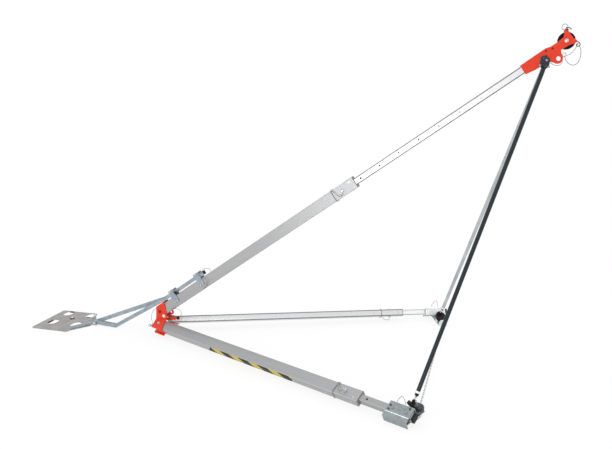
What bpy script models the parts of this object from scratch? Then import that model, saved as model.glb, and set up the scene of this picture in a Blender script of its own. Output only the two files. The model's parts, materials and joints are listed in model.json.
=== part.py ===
"""Aluminium rescue tripod laid down as an overhanging jib.

Three telescopic legs meet in a red hub. Two lie near the floor, the third is the boom with a pulley head.
Two steel braces hold the head over the feet, a chain spreads the feet, and a floor plate anchors the rear.
Lengths are in metres and angles in degrees, with X forward, Y to the far side and Z up.
"""

import math

import bmesh
import bpy
from mathutils import Matrix, Vector

# Set-up angles of the three legs, seen from the point where their axes meet
LEG_SPREAD = 22.12
BOOM_RISE = 35.48
LEG_FALL = 0.7

# Outer and inner leg tubes, the same on all three legs
OUTER_DEPTH = 0.080
OUTER_WIDTH = 0.050
INNER_DEPTH = 0.045
INNER_WIDTH = 0.040
TUBE_WALL = 0.003
TUBE_CORNER = 0.004
OUTER_START = 0.148
OUTER_END = 1.982
END_CHAMFER = 0.020
INNER_LENGTH = 1.850
HOLE_MARGIN = 0.018
BOOM_TIP = 3.262
FOOT_TIP = 2.330
HOLE_PITCH = 0.150
HOLE_RADIUS = 0.0065
PIN_STATION = 1.882
GUIDE_LENGTH = 0.060
GUIDE_LIP = 0.004

# Hub of three bent plates
PLATE = 0.006
HINGE_ALONG = 0.162
HINGE_OUT = 0.0055
HUB_BEND_START = 0.100
HUB_BEND_END = 0.195
HUB_EDGE_START = 0.159
HUB_EDGE_END = 0.242
HUB_EDGE_OUT = 0.050
HUB_LEG_START = 0.129
HUB_LEG_END = 0.240
HUB_LEG_OUT = 0.056
HUB_CORNER = 0.006
BOLT_RADIUS = 0.006
BOLT_HEAD_RADIUS = 0.0105
BOLT_HEAD = 0.007
STUD_RADIUS = 0.010
STUD_END = 0.262
STUD_CAP_RADIUS = 0.0125
STUD_CAP = 0.014
CORE_START = 0.103
CORE_THICKNESS = 0.012
EAR_ALONG = 0.205
EAR_OUT = 0.044
EAR_RADIUS = 0.021
EAR_HOLE = 0.008

# Pulley head on the boom's inner tube
CHEEK = 0.006
SLEEVE_START = BOOM_TIP - 0.053
SOLID_START = BOOM_TIP + 0.010
SOLID_END = BOOM_TIP + 0.150
PULLEY_ALONG = BOOM_TIP + 0.227
PULLEY_RADIUS = 0.049
PULLEY_RIM = 0.024
PULLEY_GROOVE = 0.009
AXLE_RADIUS = 0.008
WASHER_RADIUS = 0.0135
WASHER = 0.003
LUG_ALONG = BOOM_TIP + 0.141
LUG_OUT = -0.060
LUG_HOLE = 0.0135
LUG_GAP_TOP = -0.034

# Braces from the head to the feet
BRACE_PIN_ALONG = BOOM_TIP + 0.058
BRACE_PIN_OUT = -0.050
BRACE_SIDE = 0.0405
BRACE_PIN_RADIUS = 0.005
BRACE_PIN_REACH = 0.052
BRACE_PIN_HEAD = 0.009
BRACE_TUBE_RADIUS = 0.0125
BRACE_TUBE_WALL = 0.002
BRACE_TOP_GAP = 0.050
BRACE_FOOT_GAP = 0.061
BRACE_TAB = 0.005
BRACE_TAB_RADIUS = 0.014
TAB_SLACK = 0.0014
ROD_RADIUS = 0.006
ROD_EYE_RADIUS = 0.010
ROD_EYE = 0.008
ROD_EYE_HOLE = 0.0043
SADDLE_PIN_RADIUS = 0.0038
NUT_RADIUS = 0.0115
NUT = 0.015
COLLAR_RADIUS = 0.015
COLLAR = 0.014

# Feet
FOOT_END = FOOT_TIP - 0.006
FOOT_START = FOOT_END - 0.155
FOOT_OUT = 0.062
FOOT_IN = 0.044
FOOT_DROP = 0.028
FOOT_SHEET = 0.004
FOOT_PLUG = 0.015
SADDLE_ALONG = FOOT_END - 0.055
SADDLE_IN = 0.115
SADDLE_PIVOT = 0.034
PAD_CENTRE = -0.003
PAD_RADIUS = 0.047
PAD = 0.020
PAD_LEAN = (0.392, 0.537, 0.748)
POST_RADIUS = 0.011
BASE_WIDTH = 0.064
BASE_INNER = 0.186
BASE_OUTER = -0.041
BASE_LIFT = 0.0013
FOOT_EAR_WIDTH = 0.060
FOOT_EAR_TOP = -0.004
FOOT_EAR_FROM = 0.176
EAR_SHEET = 0.005

# Spreader chain
LINK_WIRE = 0.0030
LINK_WIDTH = 0.0110
LINK_LENGTH = 0.0305
LINK_LAP = 0.0008
CHAIN_HEIGHT = -0.029

# Rear bars and anchor plate
BAR_HEIGHT = 0.028
BAR_WIDTH = 0.0247
BAR_WALL = 0.002
BAR_RISE = 0.0635
BAR_FRONT_END = 0.655
BAR_BACK_END = 0.405
NODE_X = -0.454
NODE_Z = -0.058
BAR_BEND_X = -0.272
BAR_BEND_Z = -0.066
BAR_JOIN = 0.245
CLAMP_LENGTH = 0.044
CLAMP_DROP = 0.012
CLAMP_TOP = 0.093
CLAMP_STATIONS = (0.337, 0.597)
CLAMP_SHEET = 0.005
CLAMP_BOLT = 0.004
KNOB_RADIUS = 0.013
KNOB = 0.018
ANCHOR_LENGTH = 0.332
ANCHOR_WIDTH = 0.402
ANCHOR_REAR = -0.914
ANCHOR_SHEET = 0.006
TONGUE_TIP = -0.490
TONGUE_HALF = 0.046
TONGUE_ROOT = 0.168
SLOT_LENGTH = 0.072
SLOT_WIDTH = 0.096
SLOT_SPACING_X = 0.210
SLOT_SPACING_Y = 0.195
SLOT_SHIFT_Y = 0.050
CENTRE_HOLE = 0.014
ARM_HEIGHT = 0.024
ARM_SHEET = 0.006

# Fits and facets
GAP = 0.0003
SLACK = 0.0005
ROUND = 16
SMALL_ROUND = 10


def unit(x, y, z):
    """Return the unit vector along (x, y, z)."""
    return Vector((x, y, z)).normalized()


def leg_direction(side):
    """Return the axis of a lower leg: side is 1 for the near leg, -1 for the far one."""
    spread = math.radians(LEG_SPREAD)
    return Vector((math.cos(spread), -side * math.sin(spread), 0.0))


RISE = math.radians(BOOM_RISE)
SPREAD = math.radians(LEG_SPREAD)
BOOM_DIRECTION = Vector((math.cos(RISE), 0.0, math.sin(RISE)))
AXIS_RISE = math.atan2(math.cos(SPREAD) - math.cos(RISE), math.sin(RISE))
AXIS = Vector((math.cos(AXIS_RISE), 0.0, math.sin(AXIS_RISE)))
LEG_ANGLE = RISE - AXIS_RISE


def frame(origin, x_axis, z_hint):
    """Return the matrix whose X runs along x_axis and whose Z leans to z_hint."""
    x_axis = x_axis.normalized()
    z_axis = (z_hint - x_axis * z_hint.dot(x_axis)).normalized()
    y_axis = z_axis.cross(x_axis)
    basis = Matrix((x_axis, y_axis, z_axis)).transposed()
    return Matrix.Translation(origin) @ basis.to_4x4()


def arm_frame(direction):
    """Return a leg's frame: X along it, Z away from the tripod's axis, Y across."""
    return frame(Vector(), direction, direction - AXIS * direction.dot(AXIS))


BOOM = arm_frame(BOOM_DIRECTION)
LEG = {1: arm_frame(leg_direction(1)), -1: arm_frame(leg_direction(-1))}
GROUND = {side: frame(Vector(), leg_direction(side), Vector((0, 0, 1))) for side in (1, -1)}


def floor_drop():
    """Return how far the lowest corner of a foot lies under the legs' meeting point."""
    corner = LEG[1] @ Vector((FOOT_END, -FOOT_DROP, FOOT_OUT))
    fall = math.radians(LEG_FALL)
    return corner.x * math.sin(fall) - corner.z * math.cos(fall)


def part_frame():
    """Return the matrix that stands the part on its feet, with its box centred on X."""
    head = BOOM @ Vector((PULLEY_ALONG + PULLEY_RADIUS, 0.0, 0.0))
    middle = (head.x + ANCHOR_REAR) / 2
    lift = Matrix.Translation((-middle, 0.0, floor_drop()))
    return lift @ Matrix.Rotation(math.radians(LEG_FALL), 4, "Y")


PART = part_frame()

COLOURS = {
    "aluminium": ((0.72, 0.73, 0.74, 1.0), 0.42, 0.9),
    "red": ((0.84, 0.06, 0.025, 1.0), 0.38, 0.0),
    "zinc": ((0.62, 0.65, 0.66, 1.0), 0.45, 0.85),
    "steel": ((0.66, 0.67, 0.68, 1.0), 0.25, 1.0),
    "black": ((0.02, 0.02, 0.022, 1.0), 0.5, 0.0),
    "pale": ((0.85, 0.86, 0.86, 1.0), 0.35, 0.3),
}


def clear_scene():
    """Remove every object that the file holds."""
    for obj in list(bpy.data.objects):
        bpy.data.objects.remove(obj, do_unlink=True)


def paint(name, colour):
    """Return a Principled material of its own for the piece called name."""
    base, roughness, metallic = COLOURS[colour]
    material = bpy.data.materials.new(f"{name}_{colour}")
    material.use_nodes = True
    shader = material.node_tree.nodes["Principled BSDF"]
    shader.inputs["Base Color"].default_value = base
    shader.inputs["Roughness"].default_value = roughness
    shader.inputs["Metallic"].default_value = metallic
    return material


def empty_at(name, point, axis, parent=None):
    """Add an empty on a joint's axis, its Z along the axis, in the legs' own frame."""
    obj = bpy.data.objects.new(name, None)
    bpy.context.collection.objects.link(obj)
    hint = Vector((0, 0, 1)) if abs(axis.z) < 0.9 else Vector((1, 0, 0))
    z_axis = axis.normalized()
    x_axis = (hint - z_axis * hint.dot(z_axis)).normalized()
    basis = Matrix((x_axis, z_axis.cross(x_axis), z_axis)).transposed().to_4x4()
    obj.matrix_world = PART @ Matrix.Translation(point) @ basis
    keep_place(obj, parent)
    return obj


def keep_place(obj, parent):
    """Parent obj to parent without moving it."""
    if parent is None:
        return
    bpy.context.view_layer.update()
    placed = obj.matrix_world.copy()
    obj.parent = parent
    obj.matrix_parent_inverse = parent.matrix_world.inverted()
    obj.matrix_world = placed


def add(name, bm, place, colour, parent=None, cutters=(), joins=()):
    """Turn a bmesh into a named object in the frame called place, with its Booleans."""
    bmesh.ops.recalc_face_normals(bm, faces=bm.faces)
    mesh = bpy.data.meshes.new(name)
    bm.to_mesh(mesh)
    bm.free()
    obj = bpy.data.objects.new(name, mesh)
    bpy.context.collection.objects.link(obj)
    obj.matrix_world = PART @ place
    mesh.materials.append(paint(name, colour))
    mesh.shade_smooth()
    mesh.set_sharp_from_angle(angle=math.radians(35))
    for operation, shapes in (("UNION", joins), ("DIFFERENCE", cutters)):
        for number, shape in enumerate(shapes):
            tool = helper(f"{name}_{operation.lower()}_{number}", shape, place)
            modifier = obj.modifiers.new(tool.name, "BOOLEAN")
            modifier.operation = operation
            modifier.solver = "EXACT"
            modifier.object = tool
    keep_place(obj, parent)
    return obj


def helper(name, bm, place):
    """Add a hidden shape that a Boolean reads."""
    bmesh.ops.recalc_face_normals(bm, faces=bm.faces)
    mesh = bpy.data.meshes.new(name)
    bm.to_mesh(mesh)
    bm.free()
    tool = bpy.data.objects.new(name, mesh)
    bpy.context.collection.objects.link(tool)
    tool.matrix_world = PART @ place
    tool.hide_render = True
    tool.display_type = "WIRE"
    return tool


def spot(plane, a, b, c):
    """Return the point whose outline place is (a, b) in a plane and whose depth is c."""
    return {"XZ": (a, c, b), "XY": (a, b, c), "YZ": (c, a, b)}[plane]


def prism(outline, low, high, plane="XZ", bm=None):
    """Extrude a closed outline through a plane, from depth low to depth high."""
    bm = bm or bmesh.new()
    lower = [bm.verts.new(spot(plane, a, b, low)) for a, b in outline]
    upper = [bm.verts.new(spot(plane, a, b, high)) for a, b in outline]
    bm.faces.new(lower)
    bm.faces.new(upper)
    for i, vert in enumerate(lower):
        j = (i + 1) % len(lower)
        bm.faces.new((vert, lower[j], upper[j], upper[i]))
    return bm


def rectangle(a0, a1, b0, b1):
    """Return the corners of a rectangle."""
    return [(a0, b0), (a1, b0), (a1, b1), (a0, b1)]


def rounded(outline, radius, steps=3):
    """Return an outline with each corner replaced by an arc."""
    result = []
    count = len(outline)
    for i, corner in enumerate(outline):
        here = Vector(corner)
        back = (Vector(outline[i - 1]) - here).normalized()
        ahead = (Vector(outline[(i + 1) % count]) - here).normalized()
        half = back.angle(ahead) / 2
        reach = radius / math.tan(half)
        centre = here + (back + ahead).normalized() * (radius / math.sin(half))
        first = here + back * reach - centre
        last = here + ahead * reach - centre
        turn = first.angle_signed(last)
        for step in range(steps + 1):
            angle = -turn * step / steps
            spun = Matrix.Rotation(angle, 2) @ first
            result.append(tuple(centre + spun))
    return result


def arc(centre, radius, start, end, steps):
    """Return points on an arc, angles in degrees."""
    points = []
    for step in range(steps + 1):
        angle = math.radians(start + (end - start) * step / steps)
        points.append((centre[0] + radius * math.cos(angle), centre[1] + radius * math.sin(angle)))
    return points


def circle(centre, radius, sides):
    """Return the corners of a regular polygon."""
    return arc(centre, radius, 0, 360 * (sides - 1) / sides, sides - 1)


def rod(start, end, radius, sides=ROUND, bm=None):
    """Add a solid cylinder between two points."""
    bm = bm or bmesh.new()
    start, end = Vector(start), Vector(end)
    turn = (end - start).to_track_quat("Z", "Y").to_matrix().to_4x4()
    place = Matrix.Translation((start + end) / 2) @ turn
    bmesh.ops.create_cone(
        bm, cap_ends=True, segments=sides, radius1=radius, radius2=radius,
        depth=(end - start).length, matrix=place,
    )
    return bm


def lathe(profile, sides=ROUND, axis="Z", bm=None):
    """Turn a profile of (radius, height) round an axis: a closed ring where no radius is nought."""
    bm = bm or bmesh.new()
    rings = []
    for radius, height in profile:
        ring = []
        for step in range(sides if radius > 0 else 1):
            angle = 2 * math.pi * step / sides
            a, b = radius * math.cos(angle), radius * math.sin(angle)
            ring.append(bm.verts.new((a, b, height) if axis == "Z" else (a, height, b)))
        rings.append(ring)
    open_ends = profile[0][0] == 0
    pairs = list(zip(rings, rings[1:])) if open_ends else list(zip(rings, rings[1:] + rings[:1]))
    for lower, upper in pairs:
        for i in range(sides):
            j = (i + 1) % sides
            corners = [lower[i % len(lower)], lower[j % len(lower)], upper[j % len(upper)], upper[i % len(upper)]]
            unique = list(dict.fromkeys(corners))
            bm.faces.new(unique)
    return bm


def box_tube(start, end, depth, width, wall, corner):
    """Return a rectangular tube along X: depth is its size in Z, width its size in Y."""
    bm = bmesh.new()
    loops = []
    for inset, radius in ((0.0, corner), (wall, max(corner - wall, 0.001))):
        shape = rectangle(-width / 2 + inset, width / 2 - inset, -depth / 2 + inset, depth / 2 - inset)
        points = rounded(shape, radius, 2)
        for x in (start, end):
            loops.append([bm.verts.new((x, a, b)) for a, b in points])
    outer_start, outer_end, inner_start, inner_end = loops
    for first, second in (
        (outer_start, outer_end), (inner_start, inner_end),
        (outer_start, inner_start), (outer_end, inner_end),
    ):
        for i in range(len(first)):
            j = (i + 1) % len(first)
            bm.faces.new((first[i], first[j], second[j], second[i]))
    return bm


def cross_holes(stations, radius, reach, height=0.0, sides=SMALL_ROUND):
    """Return cylinders along Y, one at each station, for drilling a tube."""
    bm = bmesh.new()
    for station in stations:
        rod((station, -reach, height), (station, reach, height), radius, sides, bm)
    return bm


def hole_stations(start, end):
    """Return the drilled stations of an inner tube, in step with the pin's station."""
    first = math.ceil((start + HOLE_MARGIN - PIN_STATION) / HOLE_PITCH)
    last = math.floor((end - HOLE_MARGIN - PIN_STATION) / HOLE_PITCH)
    return [PIN_STATION + HOLE_PITCH * k for k in range(first, last + 1)]


def outer_tube(name, place, parent):
    """Build an outer tube with its hinge hole, pin hole and clipped inner corner."""
    bm = box_tube(OUTER_START, OUTER_END, OUTER_DEPTH, OUTER_WIDTH, TUBE_WALL, TUBE_CORNER)
    half = OUTER_DEPTH / 2
    clip = [
        (OUTER_START - 0.01, -half - 0.01),
        (OUTER_START + END_CHAMFER + 0.01, -half - 0.01),
        (OUTER_START - 0.01, -half + END_CHAMFER + 0.01),
    ]
    cutters = [
        prism(clip, -OUTER_WIDTH, OUTER_WIDTH),
        cross_holes([HINGE_ALONG], BOLT_RADIUS + SLACK, OUTER_WIDTH, HINGE_OUT, ROUND),
        cross_holes([PIN_STATION], HOLE_RADIUS, OUTER_WIDTH),
    ]
    return add(name, bm, place, "aluminium", parent, cutters)


def guide(name, place, parent):
    """Build the black plug that guides the inner tube in the outer one's end."""
    depth = OUTER_DEPTH - 2 * TUBE_WALL - 2 * GAP
    width = OUTER_WIDTH - 2 * TUBE_WALL - 2 * GAP
    start = OUTER_END - GUIDE_LENGTH
    bm = prism(rounded(rectangle(-width / 2, width / 2, -depth / 2, depth / 2), 0.002, 2),
               start, OUTER_END + GUIDE_LIP, "YZ")
    lip = prism(rounded(rectangle(-OUTER_WIDTH / 2, OUTER_WIDTH / 2, -OUTER_DEPTH / 2, OUTER_DEPTH / 2),
                        TUBE_CORNER, 3), OUTER_END + GAP, OUTER_END + GUIDE_LIP - 0.0001, "YZ")
    slot_depth = INNER_DEPTH / 2 + GAP
    slot_width = INNER_WIDTH / 2 + GAP
    bore = prism(rectangle(-slot_width, slot_width, -slot_depth, slot_depth),
                 start - 0.01, OUTER_END + 0.02, "YZ")
    return add(name, bm, place, "black", parent, [bore], [lip])


def inner_tube(name, place, tip, parent):
    """Build an inner tube with its row of holes."""
    start = tip - INNER_LENGTH
    bm = box_tube(start, tip, INNER_DEPTH, INNER_WIDTH, TUBE_WALL, TUBE_CORNER)
    holes = cross_holes(hole_stations(start, tip), HOLE_RADIUS, INNER_WIDTH)
    return add(name, bm, place, "aluminium", parent, [holes])


def quick_pin(name, place, side, parent):
    """Build a quick-release pin through a leg, its head and ring on the side given."""
    reach = OUTER_WIDTH / 2
    bm = rod((PIN_STATION, -side * (reach + 0.010), 0), (PIN_STATION, side * (reach + 0.013), 0), 0.0055)
    head = rod((PIN_STATION, side * (reach + GAP), 0), (PIN_STATION, side * (reach + 0.008), 0), 0.010)
    ring = bmesh.new()
    centre = Vector((PIN_STATION, side * (reach + 0.0225), 0))
    wire, radius = 0.0011, 0.012
    loops = []
    for step in range(ROUND):
        angle = 2 * math.pi * step / ROUND
        out = Vector((0, math.cos(angle), math.sin(angle)))
        loop = []
        for turn in range(6):
            bend = 2 * math.pi * turn / 6
            offset = out * (wire * math.cos(bend)) + Vector((wire * math.sin(bend), 0, 0))
            loop.append(ring.verts.new(centre + out * radius + offset))
        loops.append(loop)
    for i, loop in enumerate(loops):
        nearby = loops[(i + 1) % ROUND]
        for turn in range(6):
            after = (turn + 1) % 6
            ring.faces.new((loop[turn], loop[after], nearby[after], nearby[turn]))
    return add(name, bm, place, "steel", parent, joins=[head, ring])


def hinge_bolt(name, place, parent):
    """Build a leg's hinge bolt, with a hexagon head at both ends."""
    inner = OUTER_WIDTH / 2 + SLACK + PLATE + GAP
    outer = inner + BOLT_HEAD
    bm = rod((HINGE_ALONG, -outer + 0.001, HINGE_OUT), (HINGE_ALONG, outer - 0.001, HINGE_OUT), BOLT_RADIUS)
    heads = []
    for side in (-1, 1):
        heads.append(rod((HINGE_ALONG, side * inner, HINGE_OUT), (HINGE_ALONG, side * outer, HINGE_OUT),
                         BOLT_HEAD_RADIUS, 6))
    return add(name, bm, place, "steel", parent, joins=heads)


def hub_place(along, out, radial, across):
    """Return a point given by its place along the tripod's axis and out from it."""
    return AXIS * along + radial * out + across


def flange_outline(start, end, reach):
    """Return a hub flange's edge as (along, out) points: start and end lie along its leg, reach out from it."""
    def point(s, w):
        return (s * math.cos(LEG_ANGLE) - w * math.sin(LEG_ANGLE), s * math.sin(LEG_ANGLE) + w * math.cos(LEG_ANGLE))
    first = point(start, reach)
    last = point(end, reach)
    base = (OUTER_WIDTH / 2 + SLACK) * 0.64
    outline = rounded([(HUB_BEND_START, base), first, last, (HUB_BEND_END, base)], HUB_CORNER, 3)
    return outline[4:12]


def hub_plate(name, first, second, parent, ear=False):
    """Build a plate bent along the tripod's axis, one flange on each of two legs' faces."""
    radials = []
    for direction in (first, second):
        radials.append((direction - AXIS * direction.dot(AXIS)).normalized())
    half = radials[0].angle(radials[1]) / 2
    bisector = (radials[0] + radials[1]).normalized()
    inner = OUTER_WIDTH / 2 + SLACK
    outer = inner + PLATE
    bm = bmesh.new()
    bends = {}
    for layer, offset in (("inner", inner), ("outer", outer)):
        corner = bisector * (offset / math.sin(half))
        bends[layer] = [bm.verts.new(AXIS * along + corner) for along in (HUB_BEND_START, HUB_BEND_END)]
    edges = {}
    for radial, other in ((radials[0], radials[1]), (radials[1], radials[0])):
        across = (other - radial * other.dot(radial)).normalized()
        edge = (HUB_LEG_START, HUB_LEG_END, HUB_LEG_OUT)
        if abs(radial.y) < 0.001:
            edge = (HUB_EDGE_START, HUB_EDGE_END, HUB_EDGE_OUT)
        loops = {}
        for layer, offset in (("inner", inner), ("outer", outer)):
            points = [bm.verts.new(AXIS * a + radial * r + across * offset) for a, r in flange_outline(*edge)]
            loop = [bends[layer][0]] + points + [bends[layer][1]]
            bm.faces.new(loop)
            loops[layer] = loop
        for i in range(len(loops["inner"]) - 1):
            bm.faces.new((loops["inner"][i], loops["inner"][i + 1], loops["outer"][i + 1], loops["outer"][i]))
    joins, cutters = [], []
    for direction in (first, second):
        place = arm_frame(direction)
        drill = rod(place @ Vector((HINGE_ALONG, -0.08, HINGE_OUT)), place @ Vector((HINGE_ALONG, 0.08, HINGE_OUT)),
                    BOLT_RADIUS + SLACK)
        cutters.append(drill)
    if ear:
        radial = radials[0]
        across = (radials[1] - radial * radials[1].dot(radial)).normalized()
        outline = [(HUB_BEND_END - 0.020, EAR_OUT + 0.030), (HUB_BEND_END - 0.020, EAR_OUT - EAR_RADIUS)]
        outline += arc((EAR_ALONG, EAR_OUT), EAR_RADIUS, -90, 60, 8)
        shape = bmesh.new()
        low = [shape.verts.new(AXIS * a + radial * r + across * (inner + 0.0002)) for a, r in outline]
        high = [shape.verts.new(AXIS * a + radial * r + across * (outer - 0.0002)) for a, r in outline]
        shape.faces.new(low)
        shape.faces.new(high)
        for i in range(len(low)):
            j = (i + 1) % len(low)
            shape.faces.new((low[i], low[j], high[j], high[i]))
        joins.append(shape)
        centre = AXIS * EAR_ALONG + radial * EAR_OUT
        cutters.append(rod(centre + across * 0.015, centre + across * 0.045, EAR_HOLE))
    return add(name, bm, Matrix.Identity(4), "red", parent, cutters, joins)


def hub_core(parent):
    """Build the core that joins the three plates and carries the stud along the tripod's axis."""
    directions = [BOOM_DIRECTION, leg_direction(1), leg_direction(-1)]
    radials = [(d - AXIS * d.dot(AXIS)).normalized() for d in directions]
    corners = []
    for first, second in ((0, 1), (1, 2), (2, 0)):
        half = radials[first].angle(radials[second]) / 2
        reach = (OUTER_WIDTH / 2 + SLACK) / math.sin(half) - 0.0005
        corners.append((radials[first] + radials[second]).normalized() * reach)
    bm = bmesh.new()
    low = [bm.verts.new(AXIS * CORE_START + corner) for corner in corners]
    high = [bm.verts.new(AXIS * (CORE_START + CORE_THICKNESS) + corner) for corner in corners]
    bm.faces.new(low)
    bm.faces.new(high)
    for i in range(3):
        j = (i + 1) % 3
        bm.faces.new((low[i], low[j], high[j], high[i]))
    stud = rod(AXIS * (CORE_START + 0.004), AXIS * STUD_END, STUD_RADIUS)
    add("hub_core", bm, Matrix.Identity(4), "red", parent, joins=[stud])
    cap = lathe([(0, 0), (STUD_CAP_RADIUS - 0.002, 0), (STUD_CAP_RADIUS, 0.002), (STUD_CAP_RADIUS, STUD_CAP - 0.003),
                 (STUD_CAP_RADIUS - 0.003, STUD_CAP), (0, STUD_CAP)])
    place = Matrix.Translation(AXIS * (STUD_END + GAP)) @ AXIS.to_track_quat("Z", "Y").to_matrix().to_4x4()
    add("hub_stud_cap", cap, place, "black", parent)


def build_hub(root):
    """Build the hub: three bent plates, core, stud and hinge bolts."""
    near, far = leg_direction(1), leg_direction(-1)
    hub_plate("hub_front_plate", BOOM_DIRECTION, near, root)
    hub_plate("hub_rear_plate", BOOM_DIRECTION, far, root, ear=True)
    hub_plate("hub_lower_plate", near, far, root)
    hub_core(root)
    hinge_bolt("boom_hinge_bolt", BOOM, root)
    hinge_bolt("front_hinge_bolt", LEG[1], root)
    hinge_bolt("back_hinge_bolt", LEG[-1], root)


def cheek_outline():
    """Return the pulley cheek's outline in the boom's frame: sleeve, lug and forked end."""
    tip = BOOM_TIP
    outline = [(SLEEVE_START, 0.030), (SLEEVE_START, -0.031), (tip + 0.005, -0.041), (tip + 0.090, -0.043)]
    outline += arc((LUG_ALONG - 0.004, LUG_OUT), 0.027, 195, 355, 9)
    outline += [(LUG_ALONG + 0.027, LUG_OUT + 0.016)]
    outline += [(tip + 0.176, -0.027), (tip + 0.226, -0.030), (tip + 0.246, -0.036)]
    outline += arc((tip + 0.264, -0.031), 0.009, -110, 40, 4)
    outline += [(tip + 0.264, -0.010), (tip + 0.262, 0.020), (tip + 0.263, 0.044)]
    outline += arc((tip + 0.254, 0.052), 0.008, 0, 130, 4)
    outline += [(tip + 0.224, 0.026), (tip + 0.182, 0.022), (tip + 0.136, 0.023), (tip + 0.114, 0.031)]
    return outline


def build_head(parent):
    """Build the red head with its pulley fork, lug, sleeve and brace brackets."""
    inner = INNER_WIDTH / 2 + GAP
    outer = inner + CHEEK
    bm = prism(cheek_outline(), -outer, outer)
    depth = INNER_DEPTH / 2 + GAP
    socket = prism(rectangle(SLEEVE_START - 0.02, SOLID_START, -depth, depth), -inner, inner)
    fork = prism(rectangle(SOLID_END, PULLEY_ALONG + 0.08, -0.10, 0.08), -inner, inner)
    lugs = prism(rectangle(LUG_ALONG - 0.060, LUG_ALONG + 0.060, -0.12, LUG_GAP_TOP), -inner, inner)
    eye = cross_holes([LUG_ALONG], LUG_HOLE, 0.05, LUG_OUT, ROUND)
    axle_hole = cross_holes([PULLEY_ALONG], AXLE_RADIUS + SLACK, 0.05, 0.0, ROUND)
    add("head_body", bm, BOOM, "red", parent, [socket, fork, lugs, eye, axle_hole])
    reach = outer + GAP + WASHER
    axle = rod((PULLEY_ALONG, -reach - 0.006, 0), (PULLEY_ALONG, reach + 0.006, 0), AXLE_RADIUS)
    caps = []
    for side in (-1, 1):
        caps.append(rod((PULLEY_ALONG, side * (outer + GAP), 0), (PULLEY_ALONG, side * reach, 0), WASHER_RADIUS))
    add("pulley_axle", axle, BOOM, "steel", parent, joins=caps)
    for side, word in ((-1, "front"), (1, "back")):
        brace_bracket(word, side, outer, parent)


def brace_bracket(word, side, face, parent):
    """Build the galvanised ear on the head that carries one brace's pin."""
    outline = [
        (BRACE_PIN_ALONG - 0.022, BRACE_PIN_OUT + 0.006), (BRACE_PIN_ALONG - 0.016, BRACE_PIN_OUT - 0.014),
        (BRACE_PIN_ALONG, BRACE_PIN_OUT - 0.020), (BRACE_PIN_ALONG + 0.020, BRACE_PIN_OUT - 0.014),
        (BRACE_PIN_ALONG + 0.044, BRACE_PIN_OUT + 0.012), (BRACE_PIN_ALONG + 0.038, BRACE_PIN_OUT + 0.046),
        (BRACE_PIN_ALONG + 0.012, BRACE_PIN_OUT + 0.056), (BRACE_PIN_ALONG - 0.014, BRACE_PIN_OUT + 0.030),
    ]
    low, high = sorted((side * (face + GAP), side * (face + GAP + 0.005)))
    bm = prism(outline, low, high)
    pin = rod((BRACE_PIN_ALONG, side * (face + 0.003), BRACE_PIN_OUT),
              (BRACE_PIN_ALONG, side * (BRACE_PIN_REACH + 0.001), BRACE_PIN_OUT), BRACE_PIN_RADIUS)
    head = rod((BRACE_PIN_ALONG, side * BRACE_PIN_REACH, BRACE_PIN_OUT),
               (BRACE_PIN_ALONG, side * (BRACE_PIN_REACH + 0.005), BRACE_PIN_OUT), BRACE_PIN_HEAD)
    bolt = rod((BRACE_PIN_ALONG + 0.022, side * (face + 0.003), BRACE_PIN_OUT + 0.034),
               (BRACE_PIN_ALONG + 0.022, side * (face + 0.011), BRACE_PIN_OUT + 0.034), 0.008, 6)
    add(f"head_{word}_bracket", bm, BOOM, "zinc", parent, joins=[pin, head, bolt])


def build_pulley(parent):
    """Build the grooved pulley that turns on the head's axle."""
    half = PULLEY_RIM / 2
    hub = INNER_WIDTH / 2 - GAP
    bore = AXLE_RADIUS + SLACK
    profile = [(bore, -hub), (0.016, -hub), (0.018, -0.007), (0.036, -0.007), (0.042, -half), (PULLEY_RADIUS, -half),
               (PULLEY_RADIUS - PULLEY_GROOVE, -0.004), (PULLEY_RADIUS - PULLEY_GROOVE, 0.004),
               (PULLEY_RADIUS, half), (0.042, half), (0.036, 0.007), (0.018, 0.007), (0.016, hub), (bore, hub)]
    place = BOOM @ Matrix.Translation((PULLEY_ALONG, 0, 0))
    add("pulley", lathe(profile, 28, "Y"), place, "black", parent)


def brace_ends(side):
    """Return a brace's upper and lower pivot points, in the legs' own frame."""
    upper = BOOM @ Vector((BRACE_PIN_ALONG, -side * BRACE_SIDE, BRACE_PIN_OUT))
    lower = GROUND[side] @ Vector((SADDLE_ALONG, side * SADDLE_IN, SADDLE_PIVOT))
    return upper, lower


def brace_frame(side):
    """Return a brace's frame: Z up along it, X leaning along its leg, Y on its hinge."""
    upper, lower = brace_ends(side)
    up = (upper - lower).normalized()
    x_axis = leg_direction(side)
    x_axis = (x_axis - up * x_axis.dot(up)).normalized()
    basis = Matrix((x_axis, up.cross(x_axis), up)).transposed()
    return Matrix.Translation(lower) @ basis.to_4x4(), (upper - lower).length


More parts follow.
